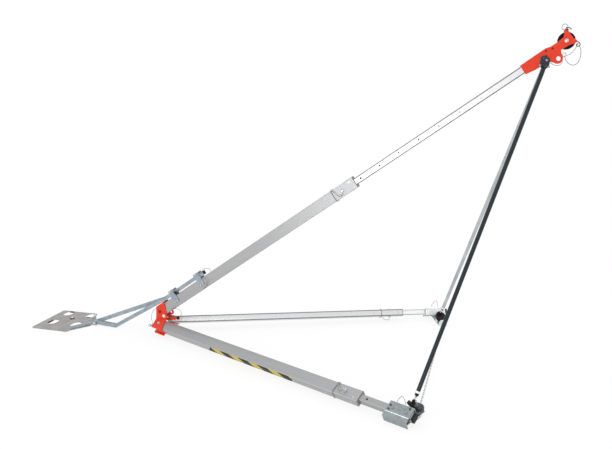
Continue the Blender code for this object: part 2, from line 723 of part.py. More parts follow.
def build_brace(word, side, parent):
    """Build one brace: tube, collar, nut, threaded rod with its eye, and the top tab."""
    place, length = brace_frame(side)
    outline = [(0.0055, 0.018), (-0.0055, 0.018)] + arc((0, 0), ROD_EYE_RADIUS, 125, 415, 12)
    eye = prism(outline, -ROD_EYE / 2, ROD_EYE / 2)
    shank = rod((0, 0, 0.0125), (0, 0, BRACE_FOOT_GAP + 0.06), ROD_RADIUS, 12)
    bore = rod((0, -0.02, 0), (0, 0.02, 0), ROD_EYE_HOLE)
    add(f"{word}_brace_rod", eye, place, "steel", parent, [bore], [shank])
    nut_top = BRACE_FOOT_GAP - COLLAR - 2 * GAP
    nut = rod((0, 0, nut_top - NUT), (0, 0, nut_top), NUT_RADIUS, 6)
    thread = rod((0, 0, nut_top - NUT - 0.01), (0, 0, nut_top + 0.01), ROD_RADIUS + GAP)
    add(f"{word}_brace_nut", nut, place, "black", parent, [thread])
    ring = [(ROD_RADIUS + GAP, 0), (COLLAR_RADIUS - 0.002, 0), (COLLAR_RADIUS, 0.002), (COLLAR_RADIUS, COLLAR),
            (ROD_RADIUS + GAP, COLLAR)]
    add(f"{word}_brace_collar", lathe(ring), place @ Matrix.Translation((0, 0, nut_top + GAP)), "pale", parent)
    end = length - BRACE_TOP_GAP
    bore_radius = BRACE_TUBE_RADIUS - BRACE_TUBE_WALL
    ring = [(bore_radius, BRACE_FOOT_GAP), (BRACE_TUBE_RADIUS, BRACE_FOOT_GAP), (BRACE_TUBE_RADIUS, end),
            (bore_radius, end)]
    add(f"{word}_brace_tube", lathe(ring, 20), place, "steel", parent)
    brace_tab(word, side, place, end, length, bore_radius, parent)


def brace_tab(word, side, place, end, length, bore_radius, parent):
    """Build the flat tab at a brace's top, square to the pin as far as the brace's lean allows."""
    across = place.inverted().to_3x3() @ Vector((0, 1, 0))
    across.z = 0
    across.normalize()
    along = across.cross(Vector((0, 0, 1)))
    turn = Matrix((along, across, Vector((0, 0, 1)))).transposed().to_4x4()
    tab_place = place @ turn
    outline = [(-0.010, end - 0.006), (0.010, end - 0.006), (0.010, end + 0.004)]
    outline += arc((0, length), BRACE_TAB_RADIUS, -20, 200, 10)
    outline += [(-0.010, end + 0.004)]
    bm = prism(outline, -BRACE_TAB / 2, BRACE_TAB / 2)
    plug = rod((0, 0, end - 0.030), (0, 0, end - 0.004), bore_radius - GAP)
    shoulder = rod((0, 0, end + GAP), (0, 0, end + 0.006), BRACE_TUBE_RADIUS)
    neck = rod((0, 0, end - 0.010), (0, 0, end + 0.003), bore_radius - GAP)
    hole = rod((0, -0.02, length), (0, 0.02, length), BRACE_PIN_RADIUS + TAB_SLACK)
    add(f"{word}_brace_tab", bm, tab_place, "zinc", parent, [hole], [plug, neck, shoulder])


def build_foot(word, side, parent):
    """Build one foot: channel on the inner tube, plug, base with ear, and the brace's saddle."""
    half = INNER_WIDTH / 2 + GAP
    face = half + FOOT_SHEET
    outline = [
        (side * face, -FOOT_IN), (side * face, FOOT_OUT), (-side * FOOT_DROP, FOOT_OUT),
        (-side * FOOT_DROP, FOOT_OUT - FOOT_SHEET), (side * half, FOOT_OUT - FOOT_SHEET),
        (side * half, -FOOT_IN + FOOT_SHEET), (-side * FOOT_DROP, -FOOT_IN + FOOT_SHEET),
        (-side * FOOT_DROP, -FOOT_IN),
    ]
    bm = prism(outline, FOOT_START, FOOT_END, "YZ")
    bolts = []
    for station in (FOOT_START + 0.035, FOOT_END - 0.035):
        bolts.append(rod((station, side * (face - 0.002), 0), (station, side * (face + 0.006), 0), 0.008, 6))
    base = foot_base(side)
    add(f"{word}_foot_channel", bm, LEG[side], "zinc", parent, joins=bolts + base)
    plug = prism(rounded(rectangle(-INNER_WIDTH / 2, INNER_WIDTH / 2, -INNER_DEPTH / 2, INNER_DEPTH / 2), 0.004, 2),
                 FOOT_TIP + GAP, FOOT_TIP + FOOT_PLUG, "YZ")
    add(f"{word}_foot_plug", plug, LEG[side], "black", parent)
    foot_saddle(word, side, parent)


def foot_floor():
    """Return the height of a foot's base over the legs' plane: its sheet rests near the floor."""
    corner = LEG[1] @ Vector((FOOT_END, -FOOT_DROP, FOOT_OUT))
    return corner.z


def foot_base(side):
    """Return the sheet that reaches inwards under the channel and the chain's ear that stands on it."""
    low = foot_floor() + BASE_LIFT
    middle = SADDLE_ALONG
    x0, x1 = middle - BASE_WIDTH / 2, middle + BASE_WIDTH / 2
    y0, y1 = sorted((side * BASE_OUTER, side * BASE_INNER))
    sheet = prism(rectangle(x0, x1, y0, y1), low, low + FOOT_SHEET, "XY")
    half = FOOT_EAR_WIDTH / 2
    corner = 0.018
    outline = [(middle - half, low + 0.001), (middle + half, low + 0.001)]
    outline += arc((middle + half - corner, FOOT_EAR_TOP - corner), corner, 0, 90, 5)
    outline += arc((middle - half + corner, FOOT_EAR_TOP - corner), corner, 90, 180, 5)
    ear0, ear1 = sorted((side * FOOT_EAR_FROM, side * (FOOT_EAR_FROM + EAR_SHEET)))
    ear = prism(outline, ear0, ear1)
    centre, lean = pad_place(side)
    top = centre - lean * (PAD / 2 + GAP)
    foot = top - lean * ((top.z - low - FOOT_SHEET / 2) / lean.z)
    post = rod(foot, top, POST_RADIUS)
    to_leg = LEG[side].inverted() @ GROUND[side]
    for shape in (sheet, ear, post):
        bmesh.ops.transform(shape, matrix=to_leg, verts=shape.verts)
    return [sheet, ear, post]


def pad_place(side):
    """Return the black pad's centre and the direction that its top faces, in the foot's level frame."""
    return Vector((SADDLE_ALONG, side * SADDLE_IN, PAD_CENTRE)), unit(PAD_LEAN[0], side * PAD_LEAN[1], PAD_LEAN[2])


def foot_saddle(word, side, parent):
    """Build the round black pad on its post, with two lugs and a pin for the rod's eye."""
    centre, lean = pad_place(side)
    bm = rod(centre - lean * PAD / 2, centre + lean * PAD / 2, PAD_RADIUS, 28)
    place, _length = brace_frame(side)
    local = GROUND[side].inverted() @ place
    joins = []
    for hand in (-1, 1):
        inner = hand * (ROD_EYE / 2 + SLACK)
        outer = hand * (ROD_EYE / 2 + SLACK + 0.005)
        lug = prism([(-0.010, -0.0240), (0.010, -0.0240), (0.010, 0.0)] + arc((0, 0), 0.010, 30, 180, 5),
                    min(inner, outer), max(inner, outer))
        bmesh.ops.transform(lug, matrix=local, verts=lug.verts)
        joins.append(lug)
    reach = ROD_EYE / 2 + SLACK + 0.004
    pin = rod(local @ Vector((0, -reach, 0)), local @ Vector((0, reach, 0)), SADDLE_PIN_RADIUS, 12)
    joins.append(pin)
    add(f"{word}_foot_saddle", bm, GROUND[side], "black", parent, joins=joins)


def link_shape(centre, flat):
    """Return one chain link along Y: its loop lies flat or upright."""
    bm = bmesh.new()
    bow = (LINK_WIDTH - LINK_WIRE) / 2
    straight = (LINK_LENGTH - LINK_WIDTH) / 2
    path = []
    for end in (1, -1):
        for step in range(4):
            angle = math.radians(-90 + 60 * step) if end > 0 else math.radians(90 + 60 * step)
            path.append((bow * math.sin(angle), end * straight + bow * math.cos(angle)))
    loops = []
    for i, (a, b) in enumerate(path):
        before, after = path[i - 1], path[(i + 1) % len(path)]
        along = Vector((after[0] - before[0], after[1] - before[1])).normalized()
        normal = Vector((along.y, -along.x))
        loop = []
        for turn in range(4):
            angle = math.pi / 4 + math.pi / 2 * turn
            shift = LINK_WIRE / 2 * math.sqrt(1.25) * math.cos(angle)
            rise = LINK_WIRE / 2 * math.sqrt(1.25) * math.sin(angle)
            x, y, z = a + normal.x * shift, b + normal.y * shift, rise
            loop.append(bm.verts.new((x, centre + y, z) if flat else (z, centre + y, x)))
        loops.append(loop)
    for i, loop in enumerate(loops):
        after = loops[(i + 1) % len(loops)]
        for turn in range(4):
            nearby = (turn + 1) % 4
            bm.faces.new((loop[turn], loop[nearby], after[nearby], after[turn]))
    return bm


def build_chain(parent):
    """Build the spreader chain between the feet's ears, its pitch set so that it just reaches both."""
    ear = GROUND[1] @ Vector((SADDLE_ALONG, FOOT_EAR_FROM + EAR_SHEET, CHAIN_HEIGHT))
    lean = (LINK_WIDTH / 2 + GAP) / math.cos(SPREAD) - LINK_WIDTH / 2
    room = -2 * (ear.y + lean)
    count = round((room - LINK_LENGTH) / (LINK_LENGTH - 2 * LINK_WIRE + LINK_LAP)) + 1
    pitch = (room - LINK_LENGTH) / (count - 1)
    place = Matrix.Translation((ear.x, 0, CHAIN_HEIGHT))
    links = bpy.data.collections.new("chain_links")
    bpy.context.scene.collection.children.link(links)
    for i in range(1, count):
        tool = helper(f"chain_link_{i}", link_shape((i - (count - 1) / 2) * pitch, i % 2 == 0), place)
        bpy.context.collection.objects.unlink(tool)
        links.objects.link(tool)
    chain = add("spreader_chain", link_shape(-(count - 1) / 2 * pitch, True), place, "zinc", parent)
    modifier = chain.modifiers.new("links", "BOOLEAN")
    modifier.operation = "UNION"
    modifier.solver = "EXACT"
    modifier.operand_type = "COLLECTION"
    modifier.collection = links


def bar_path(points, name, y_centre, parent, cutters):
    """Build a rear bar of square tube that follows a bent centre line in the XZ plane."""
    loops = []
    bm = bmesh.new()
    count = len(points)
    for i, point in enumerate(points):
        here = Vector(point)
        before = (here - Vector(points[i - 1])).normalized() if i else None
        after = (Vector(points[i + 1]) - here).normalized() if i < count - 1 else None
        before = before or after
        after = after or before
        normals = [Vector((-d.y, d.x)) for d in (before, after)]
        mitre = (normals[0] + normals[1]).normalized()
        stretch = 1 / mitre.dot(normals[0])
        ring = []
        for inset in (0.0, BAR_WALL):
            half_y = BAR_WIDTH / 2 - inset
            half_n = (BAR_HEIGHT / 2 - inset) * stretch
            for a, b in ((-1, -1), (1, -1), (1, 1), (-1, 1)):
                ring.append(bm.verts.new((here.x + mitre.x * half_n * b, y_centre + half_y * a,
                                          here.y + mitre.y * half_n * b)))
        loops.append(ring)
    for first, second in zip(loops, loops[1:]):
        for base in (0, 4):
            for i in range(4):
                j = (i + 1) % 4
                bm.faces.new((first[base + i], first[base + j], second[base + j], second[base + i]))
    for loop in (loops[0], loops[-1]):
        for i in range(4):
            j = (i + 1) % 4
            bm.faces.new((loop[i], loop[j], loop[4 + j], loop[4 + i]))
    return add(name, bm, Matrix.Identity(4), "zinc", parent, cutters)


def boom_point(along, out):
    """Return (x, z) of a point in the boom's middle plane."""
    point = BOOM @ Vector((along, 0, out))
    return (point.x, point.z)


def build_rear_bars(parent):
    """Build the two bars from the boom's top back to the anchor's pivot, their clamps and bolt."""
    centre = BAR_WIDTH / 2 + GAP
    node = (NODE_X, NODE_Z)
    def drill():
        return rod((NODE_X, -0.06, NODE_Z), (NODE_X, 0.06, NODE_Z), BOLT_RADIUS + SLACK)
    lower = [(NODE_X - 0.016, NODE_Z), (NODE_X + 0.03, NODE_Z), (BAR_BEND_X, BAR_BEND_Z)]
    lower += [boom_point(BAR_JOIN, BAR_RISE), boom_point(BAR_FRONT_END, BAR_RISE)]
    bar_path(lower, "rear_bar_lower", -centre, parent, [drill()])
    start = Vector(node)
    join = Vector(boom_point(BAR_JOIN, BAR_RISE))
    back = start + (start - join).normalized() * 0.016
    upper = [tuple(back), tuple(join), boom_point(BAR_BACK_END, BAR_RISE)]
    bar_path(upper, "rear_bar_upper", centre, parent, [drill()])
    cap = prism(rounded(rectangle(-centre - BAR_WIDTH / 2, -centre + BAR_WIDTH / 2,
                                  BAR_RISE - BAR_HEIGHT / 2, BAR_RISE + BAR_HEIGHT / 2), 0.003, 2),
                BAR_FRONT_END + GAP, BAR_FRONT_END + 0.010, "YZ")
    add("rear_bar_cap", cap, BOOM, "black", parent)
    for number, station in enumerate(CLAMP_STATIONS, start=1):
        bar_clamp(number, station, parent)
    reach = 0.026 + ARM_SHEET + GAP
    bolt = rod((NODE_X, -reach - 0.006, NODE_Z), (NODE_X, reach + 0.006, NODE_Z), BOLT_RADIUS)
    heads = []
    for side in (-1, 1):
        heads.append(rod((NODE_X, side * (reach + GAP), NODE_Z), (NODE_X, side * (reach + 0.007), NODE_Z),
                         BOLT_HEAD_RADIUS, 6))
    add("anchor_pivot_bolt", bolt, Matrix.Identity(4), "steel", parent, joins=heads)


def bar_clamp(number, station, parent):
    """Build one clamp: a plate on each side of the boom and bars, two bolts and a knob."""
    face = OUTER_WIDTH / 2 + GAP
    x0, x1 = station - CLAMP_LENGTH / 2, station + CLAMP_LENGTH / 2
    for side, word in ((-1, "front"), (1, "back")):
        y0, y1 = sorted((side * face, side * (face + CLAMP_SHEET)))
        bm = prism(rounded(rectangle(x0, x1, -CLAMP_DROP, CLAMP_TOP), 0.008), y0, y1)
        drill = cross_holes([station], CLAMP_BOLT + GAP, 0.06, CLAMP_TOP - 0.008)
        add(f"clamp_{number}_{word}_plate", bm, BOOM, "zinc", parent, [drill])
    reach = face + CLAMP_SHEET + GAP
    height = CLAMP_TOP - 0.008
    bolt = rod((station, -reach - 0.004, height), (station, reach + 0.006, height), CLAMP_BOLT)
    head = rod((station, reach, height), (station, reach + 0.006, height), 0.0075, 6)
    nut = rod((station, -reach - 0.005, height), (station, -reach, height), 0.0075, 6)
    add(f"clamp_{number}_bolt", bolt, BOOM, "steel", parent, joins=[head, nut])


def anchor_outline():
    """Return the anchor plate's outline: a square with clipped corners and a tongue to the pivot."""
    front = ANCHOR_REAR + ANCHOR_LENGTH
    half = ANCHOR_WIDTH / 2
    return [
        (ANCHOR_REAR, -half + 0.012), (ANCHOR_REAR + 0.012, -half), (front - 0.014, -half), (front, -half + 0.014),
        (front, -TONGUE_ROOT), (TONGUE_TIP, -TONGUE_HALF), (TONGUE_TIP, TONGUE_HALF), (front, TONGUE_ROOT),
        (front, half - 0.014), (front - 0.014, half), (ANCHOR_REAR + 0.012, half), (ANCHOR_REAR, half - 0.012),
    ]


def flat_frame():
    """Return the anchor's frame: level on the floor, with X measured as in the legs' frame."""
    node = PART @ Vector((NODE_X, 0, NODE_Z))
    return PART.inverted() @ Matrix.Translation((node.x - NODE_X, 0, 0))


def build_anchor(parent):
    """Build the floor plate with its four openings, and the two arms that reach the pivot."""
    place = flat_frame()
    height = (PART @ Vector((NODE_X, 0, NODE_Z))).z
    bm = prism(anchor_outline(), 0.0, ANCHOR_SHEET, "XY")
    middle = ANCHOR_REAR + ANCHOR_LENGTH / 2 + 0.025
    cutters = []
    for i in (-1, 1):
        for j in (-1, 1):
            x, y = middle + i * SLOT_SPACING_X / 2, SLOT_SHIFT_Y + j * SLOT_SPACING_Y / 2
            shape = rectangle(x - SLOT_LENGTH / 2, x + SLOT_LENGTH / 2, y - SLOT_WIDTH / 2, y + SLOT_WIDTH / 2)
            cutters.append(prism(rounded(shape, SLOT_LENGTH / 2 - 0.002, 5), -0.02, 0.03, "XY"))
    cutters.append(rod((middle, SLOT_SHIFT_Y, -0.02), (middle, SLOT_SHIFT_Y, 0.03), CENTRE_HOLE))
    add("anchor_plate", bm, place, "zinc", parent, cutters)
    for side, word in ((-1, "front"), (1, "back")):
        anchor_arm(word, side, place, height, parent)


def anchor_arm(word, side, place, height, parent):
    """Build one flat arm that stands on the plate's tongue and carries the pivot bolt."""
    face = 0.026
    low = ANCHOR_SHEET + GAP
    path = [(ANCHOR_REAR + ANCHOR_LENGTH - 0.010, TONGUE_ROOT - 0.014), (TONGUE_TIP - 0.004, face + 0.001),
            (NODE_X + 0.016, face)]
    ahead = [Vector(b) - Vector(a) for a, b in zip(path, path[1:])]
    path = [Vector(path[0]), Vector((path[1][0], face)), Vector(path[2])]
    first = (path[1] - path[0]).normalized()
    normal = Vector((-first.y, first.x))
    if normal.y < 0:
        normal = -normal
    mitre = (normal + Vector((0, 1))).normalized()
    inner = [path[0], path[1], path[2]]
    outer = [path[0] + normal * ARM_SHEET, path[1] + mitre * (ARM_SHEET / mitre.dot(Vector((0, 1)))),
             path[2] + Vector((0, ARM_SHEET))]
    outline = [(p.x, side * p.y) for p in inner + outer[::-1]]
    bm = prism(outline, low, low + ARM_HEIGHT, "XY")
    rise = [(TONGUE_TIP - 0.002, low), (NODE_X + 0.015, low + 0.004)]
    rise += [(NODE_X + 0.015, height)] + arc((NODE_X, height), 0.015, 30, 150, 5) + [(TONGUE_TIP - 0.002, low + ARM_HEIGHT)]
    y0, y1 = sorted((side * (face + 0.0001), side * (face + ARM_SHEET - 0.0001)))
    ear = prism(rise, y0, y1)
    drill = rod((NODE_X, side * 0.02, height), (NODE_X, side * 0.04, height), BOLT_RADIUS + SLACK)
    add(f"anchor_{word}_arm", bm, place, "zinc", parent, [drill], [ear])


def main():
    """Build the whole tripod."""
    clear_scene()
    root = empty_at("hub_root", Vector(), Vector((0, 0, 1)))
    build_hub(root)
    across = Vector((0, 1, 0))
    fold = empty_at("boom_fold_axis", BOOM @ Vector((HINGE_ALONG, 0, HINGE_OUT)), across, root)
    outer_tube("boom_outer_tube", BOOM, fold)
    guide("boom_guide", BOOM, fold)
    build_rear_bars(fold)
    anchor = empty_at("anchor_axis", Vector((NODE_X, 0, NODE_Z)), across, fold)
    build_anchor(anchor)
    slide = empty_at("boom_slide_axis", BOOM @ Vector((PIN_STATION, 0, 0)), BOOM_DIRECTION, fold)
    inner_tube("boom_inner_tube", BOOM, BOOM_TIP, slide)
    build_head(slide)
    spin = empty_at("pulley_axis", BOOM @ Vector((PULLEY_ALONG, 0, 0)), across, slide)
    build_pulley(spin)
    pin = empty_at("boom_pin_axis", BOOM @ Vector((PIN_STATION, 0, 0)), across, fold)
    quick_pin("boom_pin", BOOM, -1, pin)
    feet = {}
    for word, side in (("front", 1), ("back", -1)):
        place = LEG[side]
        tangent = (place.to_3x3() @ Vector((0, 1, 0))).normalized()
        fold = empty_at(f"{word}_fold_axis", place @ Vector((HINGE_ALONG, 0, HINGE_OUT)), tangent, root)
        outer_tube(f"{word}_outer_tube", place, fold)
        guide(f"{word}_guide", place, fold)
        pin = empty_at(f"{word}_pin_axis", place @ Vector((PIN_STATION, 0, 0)), tangent, fold)
        quick_pin(f"{word}_pin", place, 1, pin)
        slide = empty_at(f"{word}_slide_axis", place @ Vector((PIN_STATION, 0, 0)), leg_direction(side), fold)
        inner_tube(f"{word}_inner_tube", place, FOOT_TIP, slide)
        build_foot(word, side, slide)
        brace, _length = brace_frame(side)
        hinge = (brace.to_3x3() @ Vector((0, 1, 0))).normalized()
        tip = empty_at(f"{word}_brace_axis", brace.to_translation(), hinge, slide)
        build_brace(word, side, tip)
        feet[word] = slide
    build_chain(feet["front"])


main()
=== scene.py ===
"""Looks for the aluminium rescue tripod: materials, fine pieces, light and camera.

The CAD frame gives the shapes and places. Each class below is one sub-assembly: it refines its CAD nodes or
makes finer pieces that stand for them, and adds the small trim that the solids leave out. Lengths are in
metres, with X towards the pulley head and Z up; only the wires' points and radii are in millimetres.
"""

from __future__ import annotations

import json
import logging
import math
from dataclasses import dataclass, field
from enum import Enum
from typing import Iterable, Protocol, Sequence

import bmesh
import bpy
from mathutils import Matrix, Vector

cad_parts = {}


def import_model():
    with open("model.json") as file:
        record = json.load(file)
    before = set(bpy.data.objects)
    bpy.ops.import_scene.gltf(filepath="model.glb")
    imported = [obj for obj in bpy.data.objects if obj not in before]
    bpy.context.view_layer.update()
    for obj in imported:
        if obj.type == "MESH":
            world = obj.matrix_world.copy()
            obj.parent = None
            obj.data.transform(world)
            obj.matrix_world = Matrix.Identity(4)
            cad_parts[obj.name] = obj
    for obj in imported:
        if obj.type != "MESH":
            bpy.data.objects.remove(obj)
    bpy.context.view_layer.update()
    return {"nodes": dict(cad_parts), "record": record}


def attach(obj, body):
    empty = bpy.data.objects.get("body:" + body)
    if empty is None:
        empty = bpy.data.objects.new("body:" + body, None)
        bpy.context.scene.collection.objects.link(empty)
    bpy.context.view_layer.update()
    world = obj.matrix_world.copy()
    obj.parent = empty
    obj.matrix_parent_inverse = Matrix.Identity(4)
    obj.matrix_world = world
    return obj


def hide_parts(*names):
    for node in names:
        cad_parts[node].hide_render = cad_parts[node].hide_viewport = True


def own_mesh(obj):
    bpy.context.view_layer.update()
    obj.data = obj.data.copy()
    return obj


LOG = logging.getLogger("tripod")
MM = 0.001

Pair = tuple[float, float]
Triple = tuple[float, float, float]
Socket = bpy.types.NodeSocket


class Look(str, Enum):
    """The finishes by name."""

    BOOM = "boom_aluminium"
    BOOM_INNER = "boom_inner_aluminium"
    # The near and far copies of the leg, inner tube, brace and foot finishes differ by painted light: the
    # near copies are darker as painted shade, the far ones lighter as painted light.
    FRONT_LEG = "near_leg_aluminium_painted_shade"
    BACK_LEG = "far_leg_aluminium_painted_light"
    FRONT_INNER = "near_inner_aluminium_painted_shade"
    BACK_INNER = "far_inner_aluminium_painted_light"
    RED = "red_powder_coat"
    MAROON = "dark_red_fastener"
    WIRE = "spring_wire"
    GUIDE = "grey_guide_plastic"
    ZINC = "galvanised_steel"
    BAR = "galvanised_bar"
    BRACKET = "dull_zinc_bracket"
    FRONT_FOOT = "near_foot_galvanised_painted_shade"
    BACK_FOOT = "far_foot_galvanised_painted_light"
    ANCHOR = "anchor_plate_steel"
    STEEL = "bright_steel"
    PALE = "zinc_plate"
    FRONT_BRACE = "near_brace_tube_painted_shade"
    BACK_BRACE = "far_brace_tube_painted_light"
    BLACK_PLASTIC = "black_plastic"
    BLACK_STEEL = "black_steel"
    TAPE = "hazard_tape"


class Side(Enum):
    """The two lower legs: the near one and the far one."""

    FRONT = 1
    BACK = -1

    @property
    def word(self) -> str:
        """Return the name that the CAD nodes of this leg start with."""
        return self.name.lower()

    @property
    def look(self) -> Look:
        """Return the outer tube's finish."""
        return Look.FRONT_LEG if self is Side.FRONT else Look.BACK_LEG

    @property
    def inner_look(self) -> Look:
        """Return the inner tube's finish."""
        return Look.FRONT_INNER if self is Side.FRONT else Look.BACK_INNER


def axes(origin: Vector, x_axis: Vector, z_hint: Vector) -> Matrix:
    """Return the frame whose X runs along x_axis and whose Z leans to z_hint.

    Args:
        origin: The frame's origin.
        x_axis: Direction of X.
        z_hint: Direction that Z leans to.

    Returns:
        The frame as a 4 by 4 matrix.
    """
    x_axis = x_axis.normalized()
    z_axis = (z_hint - x_axis * z_hint.dot(x_axis)).normalized()
    basis = Matrix((x_axis, z_axis.cross(x_axis), z_axis)).transposed()
    return Matrix.Translation(origin) @ basis.to_4x4()


def turned(start: Vector, end: Vector) -> Matrix:
    """Return a frame at start whose Z points to end."""
    return Matrix.Translation(start) @ (end - start).to_track_quat("Z", "Y").to_matrix().to_4x4()


@dataclass(frozen=True)
class Datum:
    """The tripod's angles and the frames of its boom, legs and braces, as the CAD has them."""

    apex: Triple = (-0.98353, 0.0, 0.07931)
    leg_spread: float = 22.12
    boom_rise: float = 35.48
    leg_fall: float = 0.7
    brace_pin: Triple = (3.320, 0.0405, -0.050)
    saddle: Triple = (2.269, 0.115, 0.034)

    @property
    def part(self) -> Matrix:
        """Return the frame that the tripod's own drawing stands in."""
        return Matrix.Translation(Vector(self.apex)) @ Matrix.Rotation(math.radians(self.leg_fall), 4, "Y")

    @property
    def axis(self) -> Vector:
        """Return the middle line between boom and legs, in the part's frame."""
        rise, spread = math.radians(self.boom_rise), math.radians(self.leg_spread)
        angle = math.atan2(math.cos(spread) - math.cos(rise), math.sin(rise))
        return Vector((math.cos(angle), 0.0, math.sin(angle)))

    def leg_line(self, side: Side) -> Vector:
        """Return a lower leg's direction in the part's frame."""
        spread = math.radians(self.leg_spread)
        return Vector((math.cos(spread), -side.value * math.sin(spread), 0.0))

    def arm(self, direction: Vector) -> Matrix:
        """Return an arm's frame in the world: X along it, Z away from the middle line."""
        return self.part @ axes(Vector(), direction, direction - self.axis * direction.dot(self.axis))

    @property
    def boom(self) -> Matrix:
        """Return the boom's frame."""
        rise = math.radians(self.boom_rise)
        return self.arm(Vector((math.cos(rise), 0.0, math.sin(rise))))

    def leg(self, side: Side) -> Matrix:
        """Return a lower leg's frame."""
        return self.arm(self.leg_line(side))

    def ground(self, side: Side) -> Matrix:
        """Return the frame of a foot: X along its leg, Z up."""
        return self.part @ axes(Vector(), self.leg_line(side), Vector((0, 0, 1)))

    def brace(self, side: Side) -> tuple[Matrix, float]:
        """Return a brace's frame, Z up along it and Y on its lower pivot, and its length."""
        along, across, out = self.brace_pin
        upper = self.boom @ Vector((along, -side.value * across, out))
        along, across, out = self.saddle
        lower = self.ground(side) @ Vector((along, side.value * across, out))
        up = (upper - lower).normalized()
        x_axis = (self.part.to_3x3() @ self.leg_line(side)).normalized()
        x_axis = (x_axis - up * x_axis.dot(up)).normalized()
        basis = Matrix((x_axis, up.cross(x_axis), up)).transposed()
        return Matrix.Translation(lower) @ basis.to_4x4(), (upper - lower).length


DATUM = Datum()
BOOM = DATUM.boom
LEG = {side: DATUM.leg(side) for side in Side}


# Finishes


class Recipe:
    """A small writer for one material's node tree."""

    def __init__(self, name: str) -> None:
        """Start a material with its shader, output and coordinates.

        Args:
            name: The material's name.
        """
        self.material = bpy.data.materials.new(name)
        self.material.use_nodes = True
        self.tree = self.material.node_tree
        self.tree.nodes.clear()
        self.output = self.tree.nodes.new("ShaderNodeOutputMaterial")
        self.shader = self.tree.nodes.new("ShaderNodeBsdfPrincipled")
        self.feed(self.output.inputs["Surface"], self.shader.outputs["BSDF"])
        self.coords = self.tree.nodes.new("ShaderNodeTexCoord")

    def feed(self, socket: Socket, value: object) -> None:
        """Give an input its value: another node's output, or a number, vector or colour."""
        if isinstance(value, Socket):
            self.tree.links.new(value, socket)
        else:
            socket.default_value = value

    def node(self, kind: str, **values: object) -> bpy.types.Node:
        """Add a node and set its inputs and properties.

        Args:
            kind: The node's Blender type.
            **values: Inputs by name with spaces as underscores, or properties by name.

        Returns:
            The new node.
        """
        node = self.tree.nodes.new(kind)
        for key, value in values.items():
            title = key.replace("_", " ")
            if title in node.inputs:
                self.feed(node.inputs[title], value)
            else:
                setattr(node, key, value)
        return node

    def surface(self, **values: object) -> None:
        """Set the shader's inputs, by name with spaces as underscores."""
        for key, value in values.items():
            self.feed(self.shader.inputs[key.replace("_", " ")], value)

    def maths(self, operation: str, *values: Socket | float, kind: str = "ShaderNodeMath") -> Socket:
        """Return what a maths node makes of sockets and numbers.

        Args:
            operation: What it does.
            *values: Its inputs, in the node's order.
            kind: The node's Blender type.

        Returns:
            The result's socket.
        """
        node = self.node(kind, operation=operation)
        for socket, value in zip(node.inputs, values):
            self.feed(socket, value)
        return node.outputs["Value"]

    def place(self, turn: Matrix | None = None, scale: Sequence[float] = (1, 1, 1)) -> Socket:
        """Return object coordinates in a frame, divided by a scale."""
        mapping = self.node("ShaderNodeMapping", vector_type="TEXTURE", Scale=scale,
                            Vector=self.coords.outputs["Object"])
        if turn is not None:
            mapping.inputs["Rotation"].default_value = turn.to_euler()
            mapping.inputs["Location"].default_value = turn.to_translation()
        return mapping.outputs["Vector"]

    def noise(self, vector: Socket, scale: float, detail: float = 4.0) -> Socket:
        """Return a noise's value over a vector."""
        noise = self.node("ShaderNodeTexNoise", Scale=scale, Detail=detail, Roughness=0.6, Vector=vector)
        return noise.outputs["Fac"]

    def streaks(self, turn: Matrix, along: float, across: float, detail: float) -> Socket:
        """Return a noise whose grain is this long along a frame's X and this wide across it."""
        return self.noise(self.place(turn, (along, across, across)), 1.0, detail)

    def ramp(self, value: Socket, low: tuple[float, Sequence[float]], high: tuple[float, Sequence[float]],
             sharp: bool = False) -> Socket:
        """Return a value turned into a colour between two stops.

        Args:
            value: The value.
            low: The lower stop's place and colour.
            high: The upper stop's place and colour.
            sharp: Whether the colour changes at the upper stop at once.

        Returns:
            The colour's socket.
        """
        ramp = self.node("ShaderNodeValToRGB", Fac=value)
        for element, (position, colour) in zip(ramp.color_ramp.elements, (low, high)):
            element.position = position
            element.color = (*colour, 1.0)
        if sharp:
            ramp.color_ramp.interpolation = "CONSTANT"
        return ramp.outputs["Color"]

    def tones(self, value: Socket, base: Sequence[float], low: float, high: float,
              stops: Pair = (0.3, 0.7)) -> Socket:
        """Return a base colour that a value makes between low and high times as light."""
        return self.ramp(value, (stops[0], shade(base, low)), (stops[1], shade(base, high)))

    def rough(self, value: Socket, low: float, high: float) -> None:
        """Drive the roughness from low to high with a value."""
        span = self.node("ShaderNodeMapRange", To_Min=low, To_Max=high, Value=value)
        self.surface(Roughness=span.outputs["Result"])

    def bump(self, value: Socket, strength: float, distance: float) -> None:
        """Drive the shader's normal with a height."""
        bump = self.node("ShaderNodeBump", Strength=strength, Distance=distance, Height=value)
        self.surface(Normal=bump.outputs["Normal"])

    def mix(self, factor: Socket | float, first: Socket, second: Socket | Sequence[float],
            blend: str = "MIX") -> Socket:
        """Return two colours mixed.

        Args:
            factor: The share of the second colour, a socket or a number.
            first: The first colour.
            second: The second colour, a socket or its three numbers.
            blend: How they mix.

        Returns:
            The mixed colour's socket.
        """
        if not isinstance(second, Socket):
            second = (*second, 1.0)
        mix = self.node("ShaderNodeMix", data_type="RGBA", blend_type=blend, Factor=factor, A=first, B=second)
        return mix.outputs["Result"]

    def worn(self, colour: Socket, bare: Sequence[float], amount: float) -> Socket:
        """Return a colour with lighter outer edges, found from the bevelled normal."""
        bevel = self.node("ShaderNodeBevel", samples=4, Radius=0.0012)
        geometry = self.node("ShaderNodeNewGeometry")
        facing = self.maths("DOT_PRODUCT", bevel.outputs["Normal"], geometry.outputs["Normal"],
                            kind="ShaderNodeVectorMath")
        edge = self.node("ShaderNodeMapRange", From_Min=0.995, From_Max=0.85, To_Max=amount, Value=facing)
        return self.mix(edge.outputs["Result"], colour, bare)


class Finish(Protocol):
    """A finish that can write itself as a material."""

    def write(self, name: str) -> bpy.types.Material:
        """Return the finish as a material."""


def shade(base: Sequence[float], factor: float) -> list[float]:
    """Return a colour made lighter or darker."""
    return [min(1.0, c * factor) for c in base]


